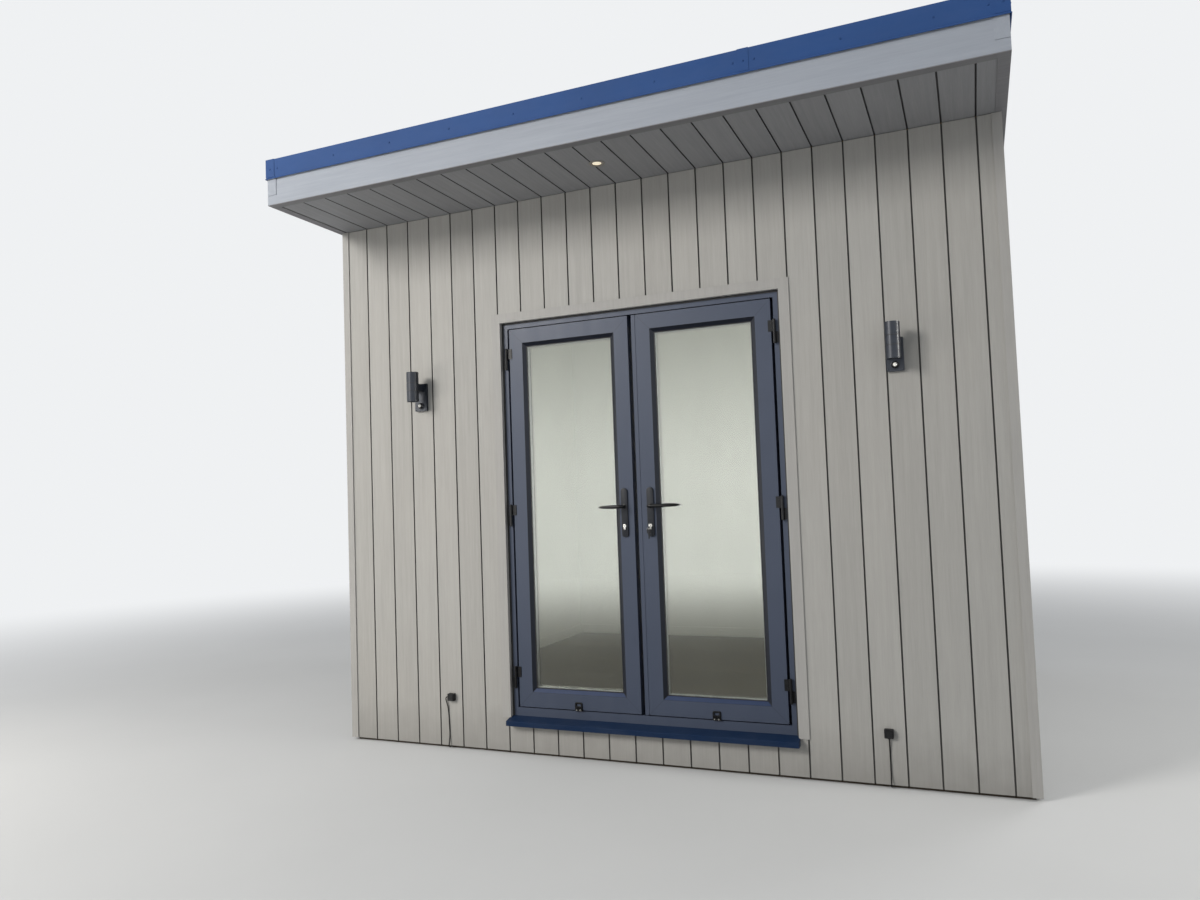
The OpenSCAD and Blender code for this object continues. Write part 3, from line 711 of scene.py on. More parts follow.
CLADDING = BoardFinish("cladding_boards", BOARD_GREY, **GROOVED)
SIDE_CLADDING = BoardFinish("side_cladding_boards", BOARD_GREY, across=Axis.Y, start=-1.035, **GROOVED)
UPRIGHT_TRIM = BoardFinish("upright_trims", shade(153, 151, 148), **PLAIN)
FASCIA = BoardFinish("fascia_boards", FASCIA_GREY, across=Axis.Z, run=Axis.X, **PLAIN)
SIDE_FASCIA = BoardFinish("side_fascia_boards", FASCIA_GREY, across=Axis.Z, run=Axis.Y, **PLAIN)
# The soffit is the fascia's board, its colour darkened as painted shade under the overhang
SHADED_SOFFIT = BoardFinish("soffit_boards_painted_shade", shade(128, 128, 130), run=Axis.Y, spread=0.04, groove=0.0036)
EAVES = EavesFinish("eaves_trim_boards", FASCIA_GREY, across=Axis.Z, run=Axis.X,
                    under=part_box("eaves_trims")[0].z + 0.0035, **PLAIN)
# The edge's blue is its coating's colour together with painted sky reflection
ROOF_METAL = CoatedMetal("roof_edge_coating", shade(42, 72, 122), "roof_edge_metal", gloss=0.6, shine=0.12)
SILL_METAL = CoatedMetal("sill_coating", shade(16, 36, 64), "sill_metal", gloss=0.46, shine=0.12)
HOUSING = SlottedMetal("light_housing_coating", shade(21, 28, 40), "light_housing", gloss=0.34, peel=1100.0,
                       dust=0.03, wave=0.0003, metallic=0.2, shine=0.5)
FOIL = FoilFinish("door_foil", ANTHRACITE)
LEFT_FOIL, RIGHT_FOIL = (leaf_foil(hand) for hand in Hand)
HARDWARE = MouldedFinish("black_hardware_coating", shade(12, 13, 15), "black_hardware", gloss=0.34, rub=0.02,
                         shine=0.25)
PLATE = MouldedFinish("handle_plate_coating", shade(26, 29, 35), "black_hardware", gloss=0.4, rub=0.03, shine=0.25)
SENSOR = MouldedFinish("sensor_collar", shade(16, 17, 20), gloss=0.16, rub=0.02)
# The bezel's grey is painted shade, as dark as the shaded soffit round it
SHADED_BEZEL = MouldedFinish("downlight_bezel", shade(128, 125, 119), gloss=0.3, speckle=700.0, rub=0.0, shine=0.3)
OUTLET = MouldedFinish("outlet_moulding", shade(20, 21, 23), "outlet_plastic", gloss=0.46, shine=0.3)
SHEATH = MouldedFinish("cable_sheath", shade(12, 12, 14), "cable_rubber", gloss=0.55, speckle=900.0, rub=0.02,
                       shine=0.25)
SEAL = MouldedFinish("seal_rubber", shade(15, 15, 17), "door_profile", gloss=0.58, speckle=800.0, rub=0.02)
MEMBRANE = SheetRubber("roof_sheet", shade(58, 59, 62), "roof_membrane")
TIMBER = SawnTimber("sawn_timber", shade(150, 122, 84))
# Treated timber, made darker still as painted shade in the gap under the cladding
SHADED_TREATED = SawnTimber("treated_timber_painted_shade", shade(58, 50, 40))
LINING = PaintedBoard("painted_lining", shade(226, 224, 218))
FLOOR = LaidFloor("laid_floor", shade(84, 72, 54))
GLASS = PaneGlass("pane_glass", (0.95, 0.965, 0.95, 1.0), "glass")
CHROME = BrightMetal("bright_plating", shade(206, 205, 200), "black_hardware")
SPACER = BrightMetal("spacer_bar", shade(196, 198, 200), "glass", gloss=0.34)

NODE_FINISHES: dict[Finish, str] = {
    CLADDING: "front_cladding back_cladding",
    SIDE_CLADDING: "left_cladding right_cladding",
    UPRIGHT_TRIM: "corner_trims door_surround",
    FASCIA: "fascia_front fascia_back",
    EAVES: "eaves_trims",
    SIDE_FASCIA: "fascia_left fascia_right fascia_corner_trims",
    SHADED_SOFFIT: "soffit_boards",
    ROOF_METAL: "roof_edge_trims roof_edge_clips",
    SILL_METAL: "door_sill",
    FOIL: "door_frame_head door_frame_left door_frame_right door_threshold meeting_strip",
    LEFT_FOIL: "left_leaf",
    RIGHT_FOIL: "right_leaf",
    HARDWARE: "frame_hinges left_hinges right_hinges left_handle_plates right_handle_plates left_lever right_lever",
    HOUSING: "wall_lights",
    SENSOR: "light_sensors",
    SHADED_BEZEL: "downlight",
    OUTLET: "cable_outlets",
    SHEATH: "left_cable right_cable",
    MEMBRANE: "roof_membrane",
    SHADED_TREATED: "base_bearers side_bearers",
    TIMBER: "floor_deck front_wall_left front_wall_right front_wall_head left_wall right_wall back_wall roof_deck",
    LINING: "inner_lining ceiling skirting",
    FLOOR: "floor_boards",
    GLASS: "left_glass right_glass",
}


def dress_nodes() -> None:
    """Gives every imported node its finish."""
    for finish, names in NODE_FINISHES.items():
        for name in names.split():
            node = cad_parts[name]
            node.data.materials.clear()
            node.data.materials.append(finish.material())
            log.info("node %s: %s", name, finish.name)


class Piece:
    """A piece in the making, whose steps act on what the last pick selected."""

    def __init__(self, name: str) -> None:
        """Takes up the new primitive, names it and puts its place into its mesh.

        Args:
            name: Name of the piece.
        """
        self.object = bpy.context.active_object
        self.object.name = self.object.data.name = name
        self.alone()
        bpy.ops.object.transform_apply(location=True, rotation=True, scale=True)

    def alone(self) -> None:
        """Deselects everything but the piece, and makes it active."""
        bpy.ops.object.select_all(action="DESELECT")
        self.object.select_set(True)
        bpy.context.view_layer.objects.active = self.object

    def __enter__(self) -> "Piece":
        """Opens the piece in edit mode with nothing in it selected.

        Returns:
            The piece.
        """
        self.alone()
        bpy.ops.object.mode_set(mode="EDIT")
        bpy.ops.mesh.select_all(action="DESELECT")
        return self

    def __exit__(self, *problem: object) -> None:
        """Closes the piece."""
        bpy.ops.object.mode_set(mode="OBJECT")

    def pick(self, test: Callable[[Vector, Vector], bool], what: Pick = Pick.FACES) -> "Piece":
        """Selects the faces or edges that pass a test, and nothing else.

        Args:
            test: Takes a face's middle and normal, or an edge's middle and direction.
            what: Faces or edges.

        Returns:
            The piece, for the next step.
        """
        bpy.ops.mesh.select_mode(type=what.value)
        bpy.ops.mesh.select_all(action="DESELECT")
        mesh = bmesh.from_edit_mesh(self.object.data)
        if what is Pick.FACES:
            for face in mesh.faces:
                face.select_set(test(face.calc_center_median(), face.normal))
        else:
            for edge in mesh.edges:
                a, b = (v.co for v in edge.verts)
                edge.select_set(test((a + b) / 2, (b - a).normalized()))
        bmesh.update_edit_mesh(self.object.data)
        return self

    def side(self, axis: Axis, way: int, least: float = ALONG) -> "Piece":
        """Picks the faces that look one way along an axis."""
        return self.pick(lambda c, n: n[axis.value] * way > least)

    def front(self, least: float = ALONG) -> "Piece":
        """Picks the faces that look to the front."""
        return self.side(Axis.Y, -1, least)

    def sides(self, axis: Axis) -> "Piece":
        """Picks the faces that look either way along an axis."""
        return self.pick(lambda c, n: abs(n[axis.value]) > ALONG)

    def edges(self, axis: Axis, where: Callable[[Vector], bool] = lambda c: True) -> "Piece":
        """Picks the edges along an axis, or those whose middles pass a test."""
        return self.pick(lambda c, d: abs(d[axis.value]) > ALONG and where(c), Pick.EDGES)

    def inset(self, width: float, depth: float = 0.0, each: bool = False) -> "Piece":
        """Insets the picked faces, together or each by itself."""
        bpy.ops.mesh.inset(thickness=width, depth=depth, use_individual=each)
        return self

    def extrude(self, move: Sequence[float]) -> "Piece":
        """Extrudes the picked faces along a vector."""
        bpy.ops.mesh.extrude_region_move(TRANSFORM_OT_translate={"value": tuple(move)})
        return self

    def resize(self, by: Sequence[float], about: Sequence[float]) -> "Piece":
        """Scales what is picked about a point."""
        bpy.ops.transform.resize(value=tuple(by), center_override=tuple(about))
        return self

    def slide(self, move: Sequence[float]) -> "Piece":
        """Moves what is picked."""
        bpy.ops.transform.translate(value=tuple(move))
        return self

    def bevel(self, width: float, segments: int = 2) -> "Piece":
        """Bevels the picked edges, or the edges of the picked faces."""
        bpy.ops.mesh.bevel(offset=width, segments=segments, affect="EDGES", clamp_overlap=True)
        return self

    def open_ring(self, axis: Axis, width: float) -> "Piece":
        """Opens a tunnel through the piece.

        Args:
            axis: Axis that the tunnel runs along.
            width: Width of the members left round it.

        Returns:
            The piece, for the next step.
        """
        self.sides(axis).inset(width, each=True)
        bpy.ops.mesh.bridge_edge_loops()
        return self

    def finish(self, finish: Finish, body: str = "pod", replaces: Sequence[str] = (), slot: str = "",
               smooth: float = SMOOTH) -> bpy.types.Object:
        """Cleans the shaped piece, shades it and hands it to its body.

        Args:
            finish: Its finish.
            body: The body that it rides on.
            replaces: Nodes that it stands for.
            slot: Not used.
            smooth: Angle below which its edges are shaded smooth.

        Returns:
            The finished object.
        """
        with self:
            bpy.ops.mesh.select_all(action="SELECT")
            bpy.ops.mesh.remove_doubles(threshold=WELD)
            bpy.ops.mesh.normals_make_consistent(inside=False)
        bpy.ops.object.shade_smooth_by_angle(angle=math.radians(smooth))
        return hand_over(self.object, finish, body, replaces)


def hand_over(piece: bpy.types.Object, finish: Finish, body: str, replaces: Sequence[str] = ()) -> bpy.types.Object:
    """Gives a piece what it needs in the frame, and reports it.

    Args:
        piece: The piece.
        finish: Its finish.
        body: The body that it rides on.
        replaces: Nodes that it stands for.

    Returns:
        The piece.
    """
    piece.data.materials.clear()
    piece.data.materials.append(finish.material())
    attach(piece, body)
    if replaces:
        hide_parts(*replaces)
    log.info("piece %s: %s on %s", piece.name, finish.name, body)
    return piece


def copied(piece: bpy.types.Object, name: str, change: Matrix, finish: Finish, body: str = "pod") -> None:
    """Copies a finished piece with a mesh of its own.

    Args:
        piece: The finished piece.
        name: Name of the copy.
        change: Matrix that its mesh goes through.
        finish: Finish of the copy.
        body: Body of the copy.
    """
    twin = bpy.data.objects.new(name, piece.data.copy())
    twin.data.name = name
    twin.data.transform(change)
    if change.determinant() < 0:
        twin.data.flip_normals()
    bpy.context.scene.collection.objects.link(twin)
    hand_over(twin, finish, body)


def block(name: str, low: Sequence[float], high: Sequence[float]) -> Piece:
    """Starts a piece from a cube.

    Args:
        name: Name of the piece.
        low: Lowest corner.
        high: Highest corner.

    Returns:
        The piece.
    """
    a, b = Vector(low), Vector(high)
    bpy.ops.object.select_all(action="DESELECT")
    bpy.ops.mesh.primitive_cube_add(size=1.0, location=(a + b) / 2, scale=b - a)
    return Piece(name)


def rod(name: str, middle: Sequence[float], radius: float, length: float, axis: Axis, sides: int = 32) -> Piece:
    """Starts a piece from a cylinder.

    Args:
        name: Name of the piece.
        middle: Middle of the cylinder.
        radius: Radius.
        length: Length along the axis.
        axis: Axis that it lies along.
        sides: Number of its sides.

    Returns:
        The piece.
    """
    turn = {Axis.X: (0.0, math.pi / 2, 0.0), Axis.Y: (math.pi / 2, 0.0, 0.0), Axis.Z: (0.0, 0.0, 0.0)}[axis]
    bpy.ops.object.select_all(action="DESELECT")
    bpy.ops.mesh.primitive_cylinder_add(vertices=sides, radius=radius, depth=length, location=middle,
                                        rotation=turn)
    return Piece(name)


def ring_frame(name: str, low: Sequence[float], high: Sequence[float], width: float, round_by: float = 0.0,
               segments: int = 2) -> Piece:
    """Models an upright rectangular ring that faces the front.

    Args:
        name: Name of the piece.
        low: Lowest corner of its outside.
        high: Highest corner of its outside.
        width: Width of its members.
        round_by: Width of the bevel along its edges.
        segments: Faces in that bevel.

    Returns:
        The ring, still to be finished.
    """
    with block(name, low, high) as ring:
        ring.open_ring(Axis.Y, width)
        if round_by:
            ring.sides(Axis.Y).bevel(round_by, segments)
    return ring


@dataclass(frozen=True)
class Lamp:
    """A soft square lamp, with its side and its power in watts."""

    name: str
    place: Triple
    target: Triple
    size: float
    power: float
    colour: Triple

    def build(self) -> None:
        """Makes the lamp."""
        data = bpy.data.lights.new(self.name, "AREA")
        data.size, data.energy, data.color = self.size, self.power, self.colour
        lamp = bpy.data.objects.new(self.name, data)
        bpy.context.scene.collection.objects.link(lamp)
        lamp.location = self.place
        lamp.rotation_euler = (Vector(self.target) - Vector(self.place)).to_track_quat("-Z", "Y").to_euler()
        log.info("lamp %s: %.0f W", self.name, self.power)


@dataclass
class Studio:
    """The camera at the photograph's place, soft lamps, and the plain floor and background."""

    place: Triple = (1.5987, -5.4027, 1.341)
    right: Triple = (0.91915, 0.3923, -0.03552)
    down: Triple = (-0.05379, 0.0357, -0.99791)
    ahead: Triple = (-0.39021, 0.91915, 0.05392)
    lens: float = 26.445
    sensor: float = 36.0
    far: float = 200.0
    floor_side: float = 120.0
    floor_z: float = -0.0005
    sky: Colour = (0.93, 0.945, 0.96, 1.0)
    sky_light: float = 0.47
    sky_seen: float = 0.93
    horizon: float = 2.4
    horizon_rise: float = 0.24
    mirrored: float = 0.4
    fade: Pair = (3.8, 11.5)
    lamps: tuple[Lamp, ...] = (
        Lamp("key", (-5.8, -8.9, 5.7), (-1.0, -1.2, 1.0), 3.0, 800.0, (1.0, 0.965, 0.91)),
        Lamp("low", (-4.6, -4.2, 0.9), (-1.4, -1.2, 0.7), 1.4, 45.0, (1.0, 0.92, 0.80)),
        Lamp("fill", (7.5, -7.5, 4.5), (0.5, -1.2, 1.4), 5.0, 20.0, (0.86, 0.93, 1.0)),
        Lamp("rim", (5.5, 5.5, 7.0), (0.5, 0.5, 2.5), 4.0, 200.0, (1.0, 0.98, 0.95)),
        Lamp("side", (5.8, -1.15, 2.8), (1.3, -1.3, 2.0), 0.9, 90.0, (1.0, 0.96, 0.88)),
        Lamp("room", (0.0, -0.6, 2.1), (0.0, 1.7, 1.1), 0.8, 9.0, (1.0, 0.99, 0.95)),
    )

    def build(self) -> None:
        """Makes the camera, the floor, the world and the lamps."""
        self.camera()
        self.floor()
        self.world()
        for lamp in self.lamps:
            lamp.build()
        bpy.context.scene.view_settings.view_transform = "Standard"

    def camera(self) -> None:
        """Makes the camera that sees the pod as the photograph does."""
        data = bpy.data.cameras.new("viewpoint")
        data.lens, data.sensor_width, data.clip_end = self.lens, self.sensor, self.far
        camera = bpy.data.objects.new("viewpoint", data)
        bpy.context.scene.collection.objects.link(camera)
        columns = [Vector(self.right), -Vector(self.down), -Vector(self.ahead)]
        turn = Matrix([[c[i] for c in columns] for i in range(3)]).to_4x4()
        camera.matrix_world = Matrix.Translation(self.place) @ turn
        bpy.context.scene.camera = camera
        log.info("camera with a %.1f mm lens", self.lens)

    def floor(self) -> None:
        """Makes the pale floor, which melts into the background far from the pod and is darker in mirrors."""
        bpy.ops.object.select_all(action="DESELECT")
        bpy.ops.mesh.primitive_plane_add(size=self.floor_side, location=(0.0, 0.0, self.floor_z))
        with Piece("studio_floor") as floor:
            floor.pick(lambda c, n: True)
            bpy.ops.mesh.subdivide(number_cuts=3)
        recipe = Recipe("studio_floor")
        glossy = recipe.ray("Glossy")
        light = recipe.noise(0.8, 4.0).level(0.985, 1.015) * glossy.span(0.0, 1.0, 1.0, self.mirrored)
        near = recipe.add("BsdfDiffuse", {"Color": recipe.dim(shade(202, 204, 206), light)})
        level = glossy.span(0.0, 1.0, self.sky_seen, self.sky_seen * self.horizon)
        glow = recipe.add("Emission", {"Color": self.sky, "Strength": level})
        away = recipe.add("VectorMath", {0: recipe.place}, "Value", operation="LENGTH")
        seen = recipe.ray("Camera").most(glossy).most(recipe.ray("Transmission"))
        far = away.span(*self.fade, interpolation_type="SMOOTHSTEP") * seen
        material = recipe.close(recipe.add("MixShader", {0: far, 1: near, 2: glow}))
        floor.object.data.materials.append(material)

    def world(self) -> None:
        """Makes the world: a level that lights the pod, one that is seen, and a mirrored one with a pale horizon."""
        world = bpy.data.worlds.new("studio")
        bpy.context.scene.world = world
        world.use_nodes = True
        nodes = Nodes(world.node_tree, "Generated")
        mirrored = abs(nodes.part(Axis.Z)).span(0.0, self.horizon_rise, self.horizon, 1.0,
                                                interpolation_type="SMOOTHSTEP")
        seen = nodes.ray("Camera").most(nodes.ray("Transmission"))
        shown = seen.span(0.0, 1.0, self.sky_light, self.sky_seen)
        level = nodes.ray("Glossy") * (mirrored * self.sky_seen - shown) + shown
        nodes.add("OutputWorld", {0: nodes.add("Background", {"Color": self.sky, "Strength": level})})


@dataclass
class Screws:
    """Domed screws with a recess, modelled once and copied wherever the pod shows one."""

    radius: float = 0.0048
    height: float = 0.0022
    top: float = 0.82
    shoulder: float = 0.3
    dome: float = 0.0004
    rim: float = 0.12
    recess: float = 0.55
    turn_each: float = 0.7
    made: Optional[bpy.types.Object] = None
    count: int = 0

    def pattern(self, finish: Finish) -> bpy.types.Object:
        """Models the screw that the others are copied from, facing the front.

        Args:
            finish: Its finish.

        Returns:
            The screw.
        """
        middle = Axis.Y.vector(-self.height / 2)
        with rod("screw_pattern", middle, self.radius, self.height, Axis.Y, 12) as screw:
            screw.front().resize((self.top, 1.0, self.top), middle)
            screw.inset(self.radius * self.shoulder, self.dome).inset(self.radius * self.rim)
            screw.extrude((0.0, self.height * self.recess, 0.0))
        return screw.finish(finish)

    def put(self, place: Sequence[float], finish: Finish, prefix: str, size: float = 1.0, turn: float = 0.0,
            body: str = "pod") -> None:
        """Puts a screw at a place.

        Args:
            place: The middle of its seat.
            finish: Its finish.
            prefix: First word of its name.
            size: Factor on its size.
            turn: Angle about Z from facing the front.
            body: The body that it rides on.
        """
        self.count += 1
        self.made = self.made or self.pattern(finish)
        change = (Matrix.Translation(place) @ Matrix.Rotation(turn, 4, "Z")
                  @ Matrix.Rotation(self.count * self.turn_each, 4, "Y") @ Matrix.Scale(size, 4))
        copied(self.made, f"{prefix}_{self.count:03d}", change, finish, body)

    def close(self) -> None:
        """Takes the pattern away once its copies are placed."""
        bpy.data.objects.remove(self.made)


@dataclass
class RoofEdge:
    """Screws along the metal roof edge and on its clips, and the seams of the sheet on the roof."""

    face_out: float = 0.008
    clip_out: float = 0.0095
    clip_in: float = 0.018
    screw_z: float = 3.156
    front: tuple[float, ...] = (-1.738, -1.365, -1.015, -0.665, -0.310, 0.042, 0.393, 0.745, 0.837, 1.190, 1.542,
                                1.738)
    side: tuple[float, ...] = (-1.738, -1.390, -1.040, -0.690, -0.340, 0.010, 0.360, 0.710, 1.060, 1.410, 1.738)
    half: Pair = (1.8065, 1.802)
    joint_x: float = 0.790
    sheet_z: float = 3.197
    lap_size: Triple = (0.06, 1.738, 0.0018)
    lap_border: float = 0.012
    lap_rise: float = 0.0008
    laps: Pair = (-0.62, 0.62)

    def build(self, screws: Screws) -> None:
        """Makes the screws and the seams.

        Args:
            screws: The screws' maker.
        """
        x_clip, y_clip = (half - self.clip_in for half in self.half)
        for sign, turn in ((-1, 0.0), (1, math.pi)):
            for out, places in ((self.face_out, self.front), (self.clip_out, (self.joint_x, -x_clip, x_clip))):
                for x in places:
                    place = (x, sign * (self.half[1] + out), self.screw_z)
                    screws.put(place, ROOF_METAL, "edge_screw", turn=turn)
        for sign in (-1, 1):
            for out, places in ((self.face_out, self.side), (self.clip_out, (-y_clip, y_clip))):
                for y in places:
                    place = (sign * (self.half[0] + out), y, self.screw_z)
                    screws.put(place, ROOF_METAL, "edge_screw", turn=sign * math.pi / 2)
        for number, x in enumerate(self.laps):
            self.lap(number, x)

    def lap(self, number: int, x: float) -> None:
        """Models one lap of the roof sheet as a low strip with a feathered edge.

        Args:
            number: Number of the lap, for its name.
            x: Place of its middle.
        """
        w, d, h = self.lap_size
        with block(f"sheet_lap_{number}", (x - w, -d, self.sheet_z), (x + w, d, self.sheet_z + h)) as strip:
            strip.side(Axis.Z, 1).resize((0.8, 0.998, 1.0), (x, 0.0, self.sheet_z))
            strip.inset(self.lap_border).slide((0.0, 0.0, self.lap_rise))
        strip.finish(MEMBRANE)


@dataclass
class LeafKit:
    """What is fitted to one leaf."""

    hand: Hand

    @property
    def word(self) -> str:
        """The leaf's word in the names of pieces and nodes."""
        return self.hand.word

    @property
    def door(self) -> str:
        """The leaf's body."""
        return f"{self.word}_door"


@dataclass
class Glazing(LeafKit):
    """The sealed unit of one leaf: two panes, the bar between them, and the seals at the beads."""

    pane: float = 0.004
    bar: float = 0.0145
    bar_gap: float = 0.0005
    seal: float = 0.0045
    seal_in: float = 0.007
    seal_depth: float = 0.0015

    def build(self) -> None:
        """Makes the panes, the bar and the seals."""
        node = f"{self.word}_glass"
        low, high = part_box(node)
        for word, y in (("outer", low.y), ("inner", high.y - self.pane)):
            with block(f"{self.word}_{word}_pane", (low.x, y, low.z), (high.x, y + self.pane, high.z)) as pane:
                pane.sides(Axis.Y).bevel(0.0006, 1)
            pane.finish(GLASS, self.door, [node] if word == "outer" else ())
        gap = Axis.Y.vector(self.pane + self.bar_gap)
        ring_frame(f"{self.word}_spacer_bar", low + gap, high - gap, self.bar, 0.0012, 1).finish(SPACER, self.door)
        inset = Axis.Y.vector(0.0, self.seal_in)
        for word, y in (("outer", low.y - self.seal_depth), ("inner", high.y)):
            a, b = low + inset, high - inset
            a.y, b.y = y, y + self.seal_depth
            ring_frame(f"{self.word}_{word}_seal", a, b, self.seal, 0.0005).finish(SEAL, self.door)


@dataclass
class Furniture(LeafKit):
    """Handle plates, levers, lock cylinders, key and catch of one leaf."""

    plate_size: Triple = (0.034, 0.009, 0.248)
    plate_z: float = 1.261
    lock_z: float = 1.193
    catch_z: float = 0.265
    catch_size: Triple = (0.042, 0.009, 0.046)
    cover_share: float = 0.54
    arch_width: float = 0.0078
    arch_out: float = 0.006
    seat_out: float = 0.003
    rivet: Pair = (0.0032, 0.002)
    collar_size: Pair = (0.0125, 0.003)
    lock_size: Pair = (0.0085, 0.007)
    lock_drop: float = 0.0125
    core_size: Pair = (0.0062, 0.0014)
    key_slot: Triple = (0.0018, 0.0012, 0.0084)
    spindle_half: float = 0.0035
    neck_radius: float = 0.0085
    lever: float = 0.125
    reach: float = 0.040
    bend: float = 0.014
    sections: tuple[Triple, ...] = ((0.10, 1.08, 0.92), (0.28, 1.06, 0.90), (0.50, 0.95, 0.86),
                                    (0.72, 0.84, 0.84), (0.90, 0.72, 0.84), (0.985, 0.58, 0.7))

    @property
    def x(self) -> float:
        """Place of the plates across the leaf."""
        return -0.056 if self.hand is Hand.LEFT else 0.084

    @property
    def face(self) -> float:
        """Place of the outer plate's face."""
        return LEAF_FACE - self.plate_size[1]

    def around(self, out: float, up: float, size: Sequence[float]) -> tuple[Vector, Vector]:
        """Returns the corners of a box whose middle is out from the plate's face and up from the lock."""
        middle = Vector((self.x, self.face - out, self.lock_z + up))
        return middle - Vector(size) / 2, middle + Vector(size) / 2

    def build(self) -> None:
        """Makes both faces of the leaf's furniture."""
        inside = Matrix.Translation((0.0, LEAF_FACE + LEAF_BACK, 0.0)) @ Matrix.Diagonal((1.0, -1.0, 1.0, 1.0))
        for name, model, finish in (("plate", self.plate, PLATE), ("collar", self.collar, HARDWARE),
                                    ("lock", self.cylinder, CHROME)):
            copied(model(), f"{self.word}_inner_{name}", inside, finish, self.door)
        self.core()
        self.catch()
        copied(self.grip(), f"{self.word}_inner_lever", inside, HARDWARE, f"{self.word}_handle")
        self.spindle()
        if self.hand is Hand.RIGHT:
            self.keys()

    def plate(self) -> bpy.types.Object:
        """Models the outer plate: round at its top, squarer at its foot, with a soft front edge.

        Returns:
            The plate.
        """
        w, t, h = self.plate_size
        foot = self.plate_z - h / 2
        with block(f"{self.word}_outer_plate", (self.x - w / 2, LEAF_FACE - t, foot),
                   (self.x + w / 2, LEAF_FACE, self.plate_z + h / 2)) as plate:
            plate.edges(Axis.Y, lambda c: c.z > self.plate_z).bevel(w * 0.499, 9)
            plate.edges(Axis.Y, lambda c: c.z < foot + 0.001).bevel(0.011, 6)
            plate.front().bevel(0.0022, 3)
        return plate.finish(PLATE, self.door, [f"{self.word}_handle_plates"])

    def collar(self) -> bpy.types.Object:
        """Models the turned collar in which the lever's neck runs.

        Returns:
            The collar.
        """
        middle = (self.x, self.face - 0.0015, SPINDLE_Z)
        with rod(f"{self.word}_outer_collar", middle, *self.collar_size, Axis.Y, 40) as collar:
            collar.front().inset(0.0015).extrude((0.0, -0.0008, 0.0)).resize((0.9, 1.0, 0.9), middle)
        return collar.finish(HARDWARE, self.door)

    def cylinder(self) -> bpy.types.Object:
        """Models the bright lock cylinder: a round barrel whose foot is drawn out below it.

        Returns:
            The cylinder.
        """
        middle = (self.x, self.face - 0.0005, self.lock_z)
        with rod(f"{self.word}_outer_lock", middle, *self.lock_size, Axis.Y) as barrel:
            barrel.side(Axis.Z, -1, 0.8).extrude((0.0, 0.0, -self.lock_drop))
            barrel.front().bevel(0.0005, 2)
        return barrel.finish(CHROME, self.door)

    def core(self) -> None:
        """Models the turning core in the outer cylinder, with its key slot."""
        middle = (self.x, self.face - 0.0045, self.lock_z)
        with rod(f"{self.word}_lock_core", middle, *self.core_size, Axis.Y) as core:
            core.front().inset(0.0009).extrude((0.0, 0.0004, 0.0)).resize((0.95, 1.0, 0.95), middle)
        core.finish(CHROME, self.door)
        with block(f"{self.word}_key_slot", *self.around(0.0048, 0.0, self.key_slot)) as slot:
            slot.front().inset(0.0003).extrude((0.0, 0.0006, 0.0))
        slot.finish(SEAL, self.door, slot="black_hardware")

    def catch(self) -> None:
        """Models the catch at the leaf's foot: an arch above two covers with a bright rivet each."""
        (w, t, h), z = self.catch_size, self.catch_z
        low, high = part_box(f"{self.word}_leaf")
        x = (low.x + high.x) / 2
        with ring_frame(f"{self.word}_catch_arch", (x - 0.48 * w, LEAF_FACE - self.arch_out, z - 0.1 * h),
                        (x + 0.48 * w, LEAF_FACE, z + h / 2), self.arch_width) as arch:
            arch.edges(Axis.Y, lambda c: c.z > z + 0.4 * h and abs(c.x - x) > 0.4 * w).bevel(0.006, 5)
            arch.front().bevel(0.0008, 2)
        arch.finish(HARDWARE, self.door)
        foot, head = z - h / 2, z - h / 2 + h * self.cover_share
        with block(f"{self.word}_catch_seat", (x - w / 2, LEAF_FACE - self.seat_out, foot),
                   (x + w / 2, LEAF_FACE, head)) as seat:
            seat.edges(Axis.Y).bevel(0.005, 4)
            seat.front().bevel(0.0008, 2)
        seat.finish(HARDWARE, self.door)
        for part, x0, x1 in (("left", x - w / 2 + 0.002, x - 0.001), ("right", x + 0.001, x + w / 2 - 0.002)):
            with block(f"{self.word}_catch_{part}", (x0, LEAF_FACE - t, foot + 0.003),
                       (x1, LEAF_FACE - 0.002, head - 0.005)) as cover:
                cover.edges(Axis.Y).bevel(0.0032, 3)
                cover.front(0.99).inset(0.0006).slide((0.0, -0.0005, 0.0))
                cover.inset(0.0014).slide((0.0, 0.0008, 0.0))
            cover.finish(HARDWARE, self.door)
            middle = ((x0 + x1) / 2, LEAF_FACE - t - 0.0004, foot + 0.009)
            with rod(f"{self.word}_catch_rivet_{part}", middle, *self.rivet, Axis.Y, 20) as rivet:
                rivet.front().inset(0.001).extrude((0.0, -0.0005, 0.0))
            rivet.finish(CHROME, self.door)

    def grip(self) -> bpy.types.Object:
        """Models the outer lever: its neck leaves the plate, bends and tapers to a slim tip.

        Returns:
            The lever.
        """
        way, neck = self.hand.value, self.reach - self.bend
        centre = Vector((self.x + way * self.bend, self.face - neck, SPINDLE_Z))
        start = (self.x, self.face - neck / 2 - 0.0015, SPINDLE_Z)
        with rod(f"{self.word}_outer_lever", start, self.neck_radius, neck - 0.003, Axis.Y, 24) as lever:
            lever.front()
            bpy.ops.mesh.spin(steps=7, angle=-way * math.pi / 2, center=centre, axis=(0.0, 0.0, 1.0))
            at = centre - Axis.Y.vector(self.bend)
            lever.pick(lambda c, n: n.x * way > 0.95 and abs(c.x - at.x) < 0.001)
            run = self.lever - self.bend
            for share, tall, deep in self.sections:
                to = Vector((centre.x + way * run * share, at.y, at.z))
                lever.extrude(to - at).resize((1.0, deep, tall), to)
                at = to
            lever.inset(0.0007).slide((way * run * 0.01, 0.0, 0.0))
        return lever.finish(HARDWARE, f"{self.word}_handle", [f"{self.word}_lever"], smooth=55.0)

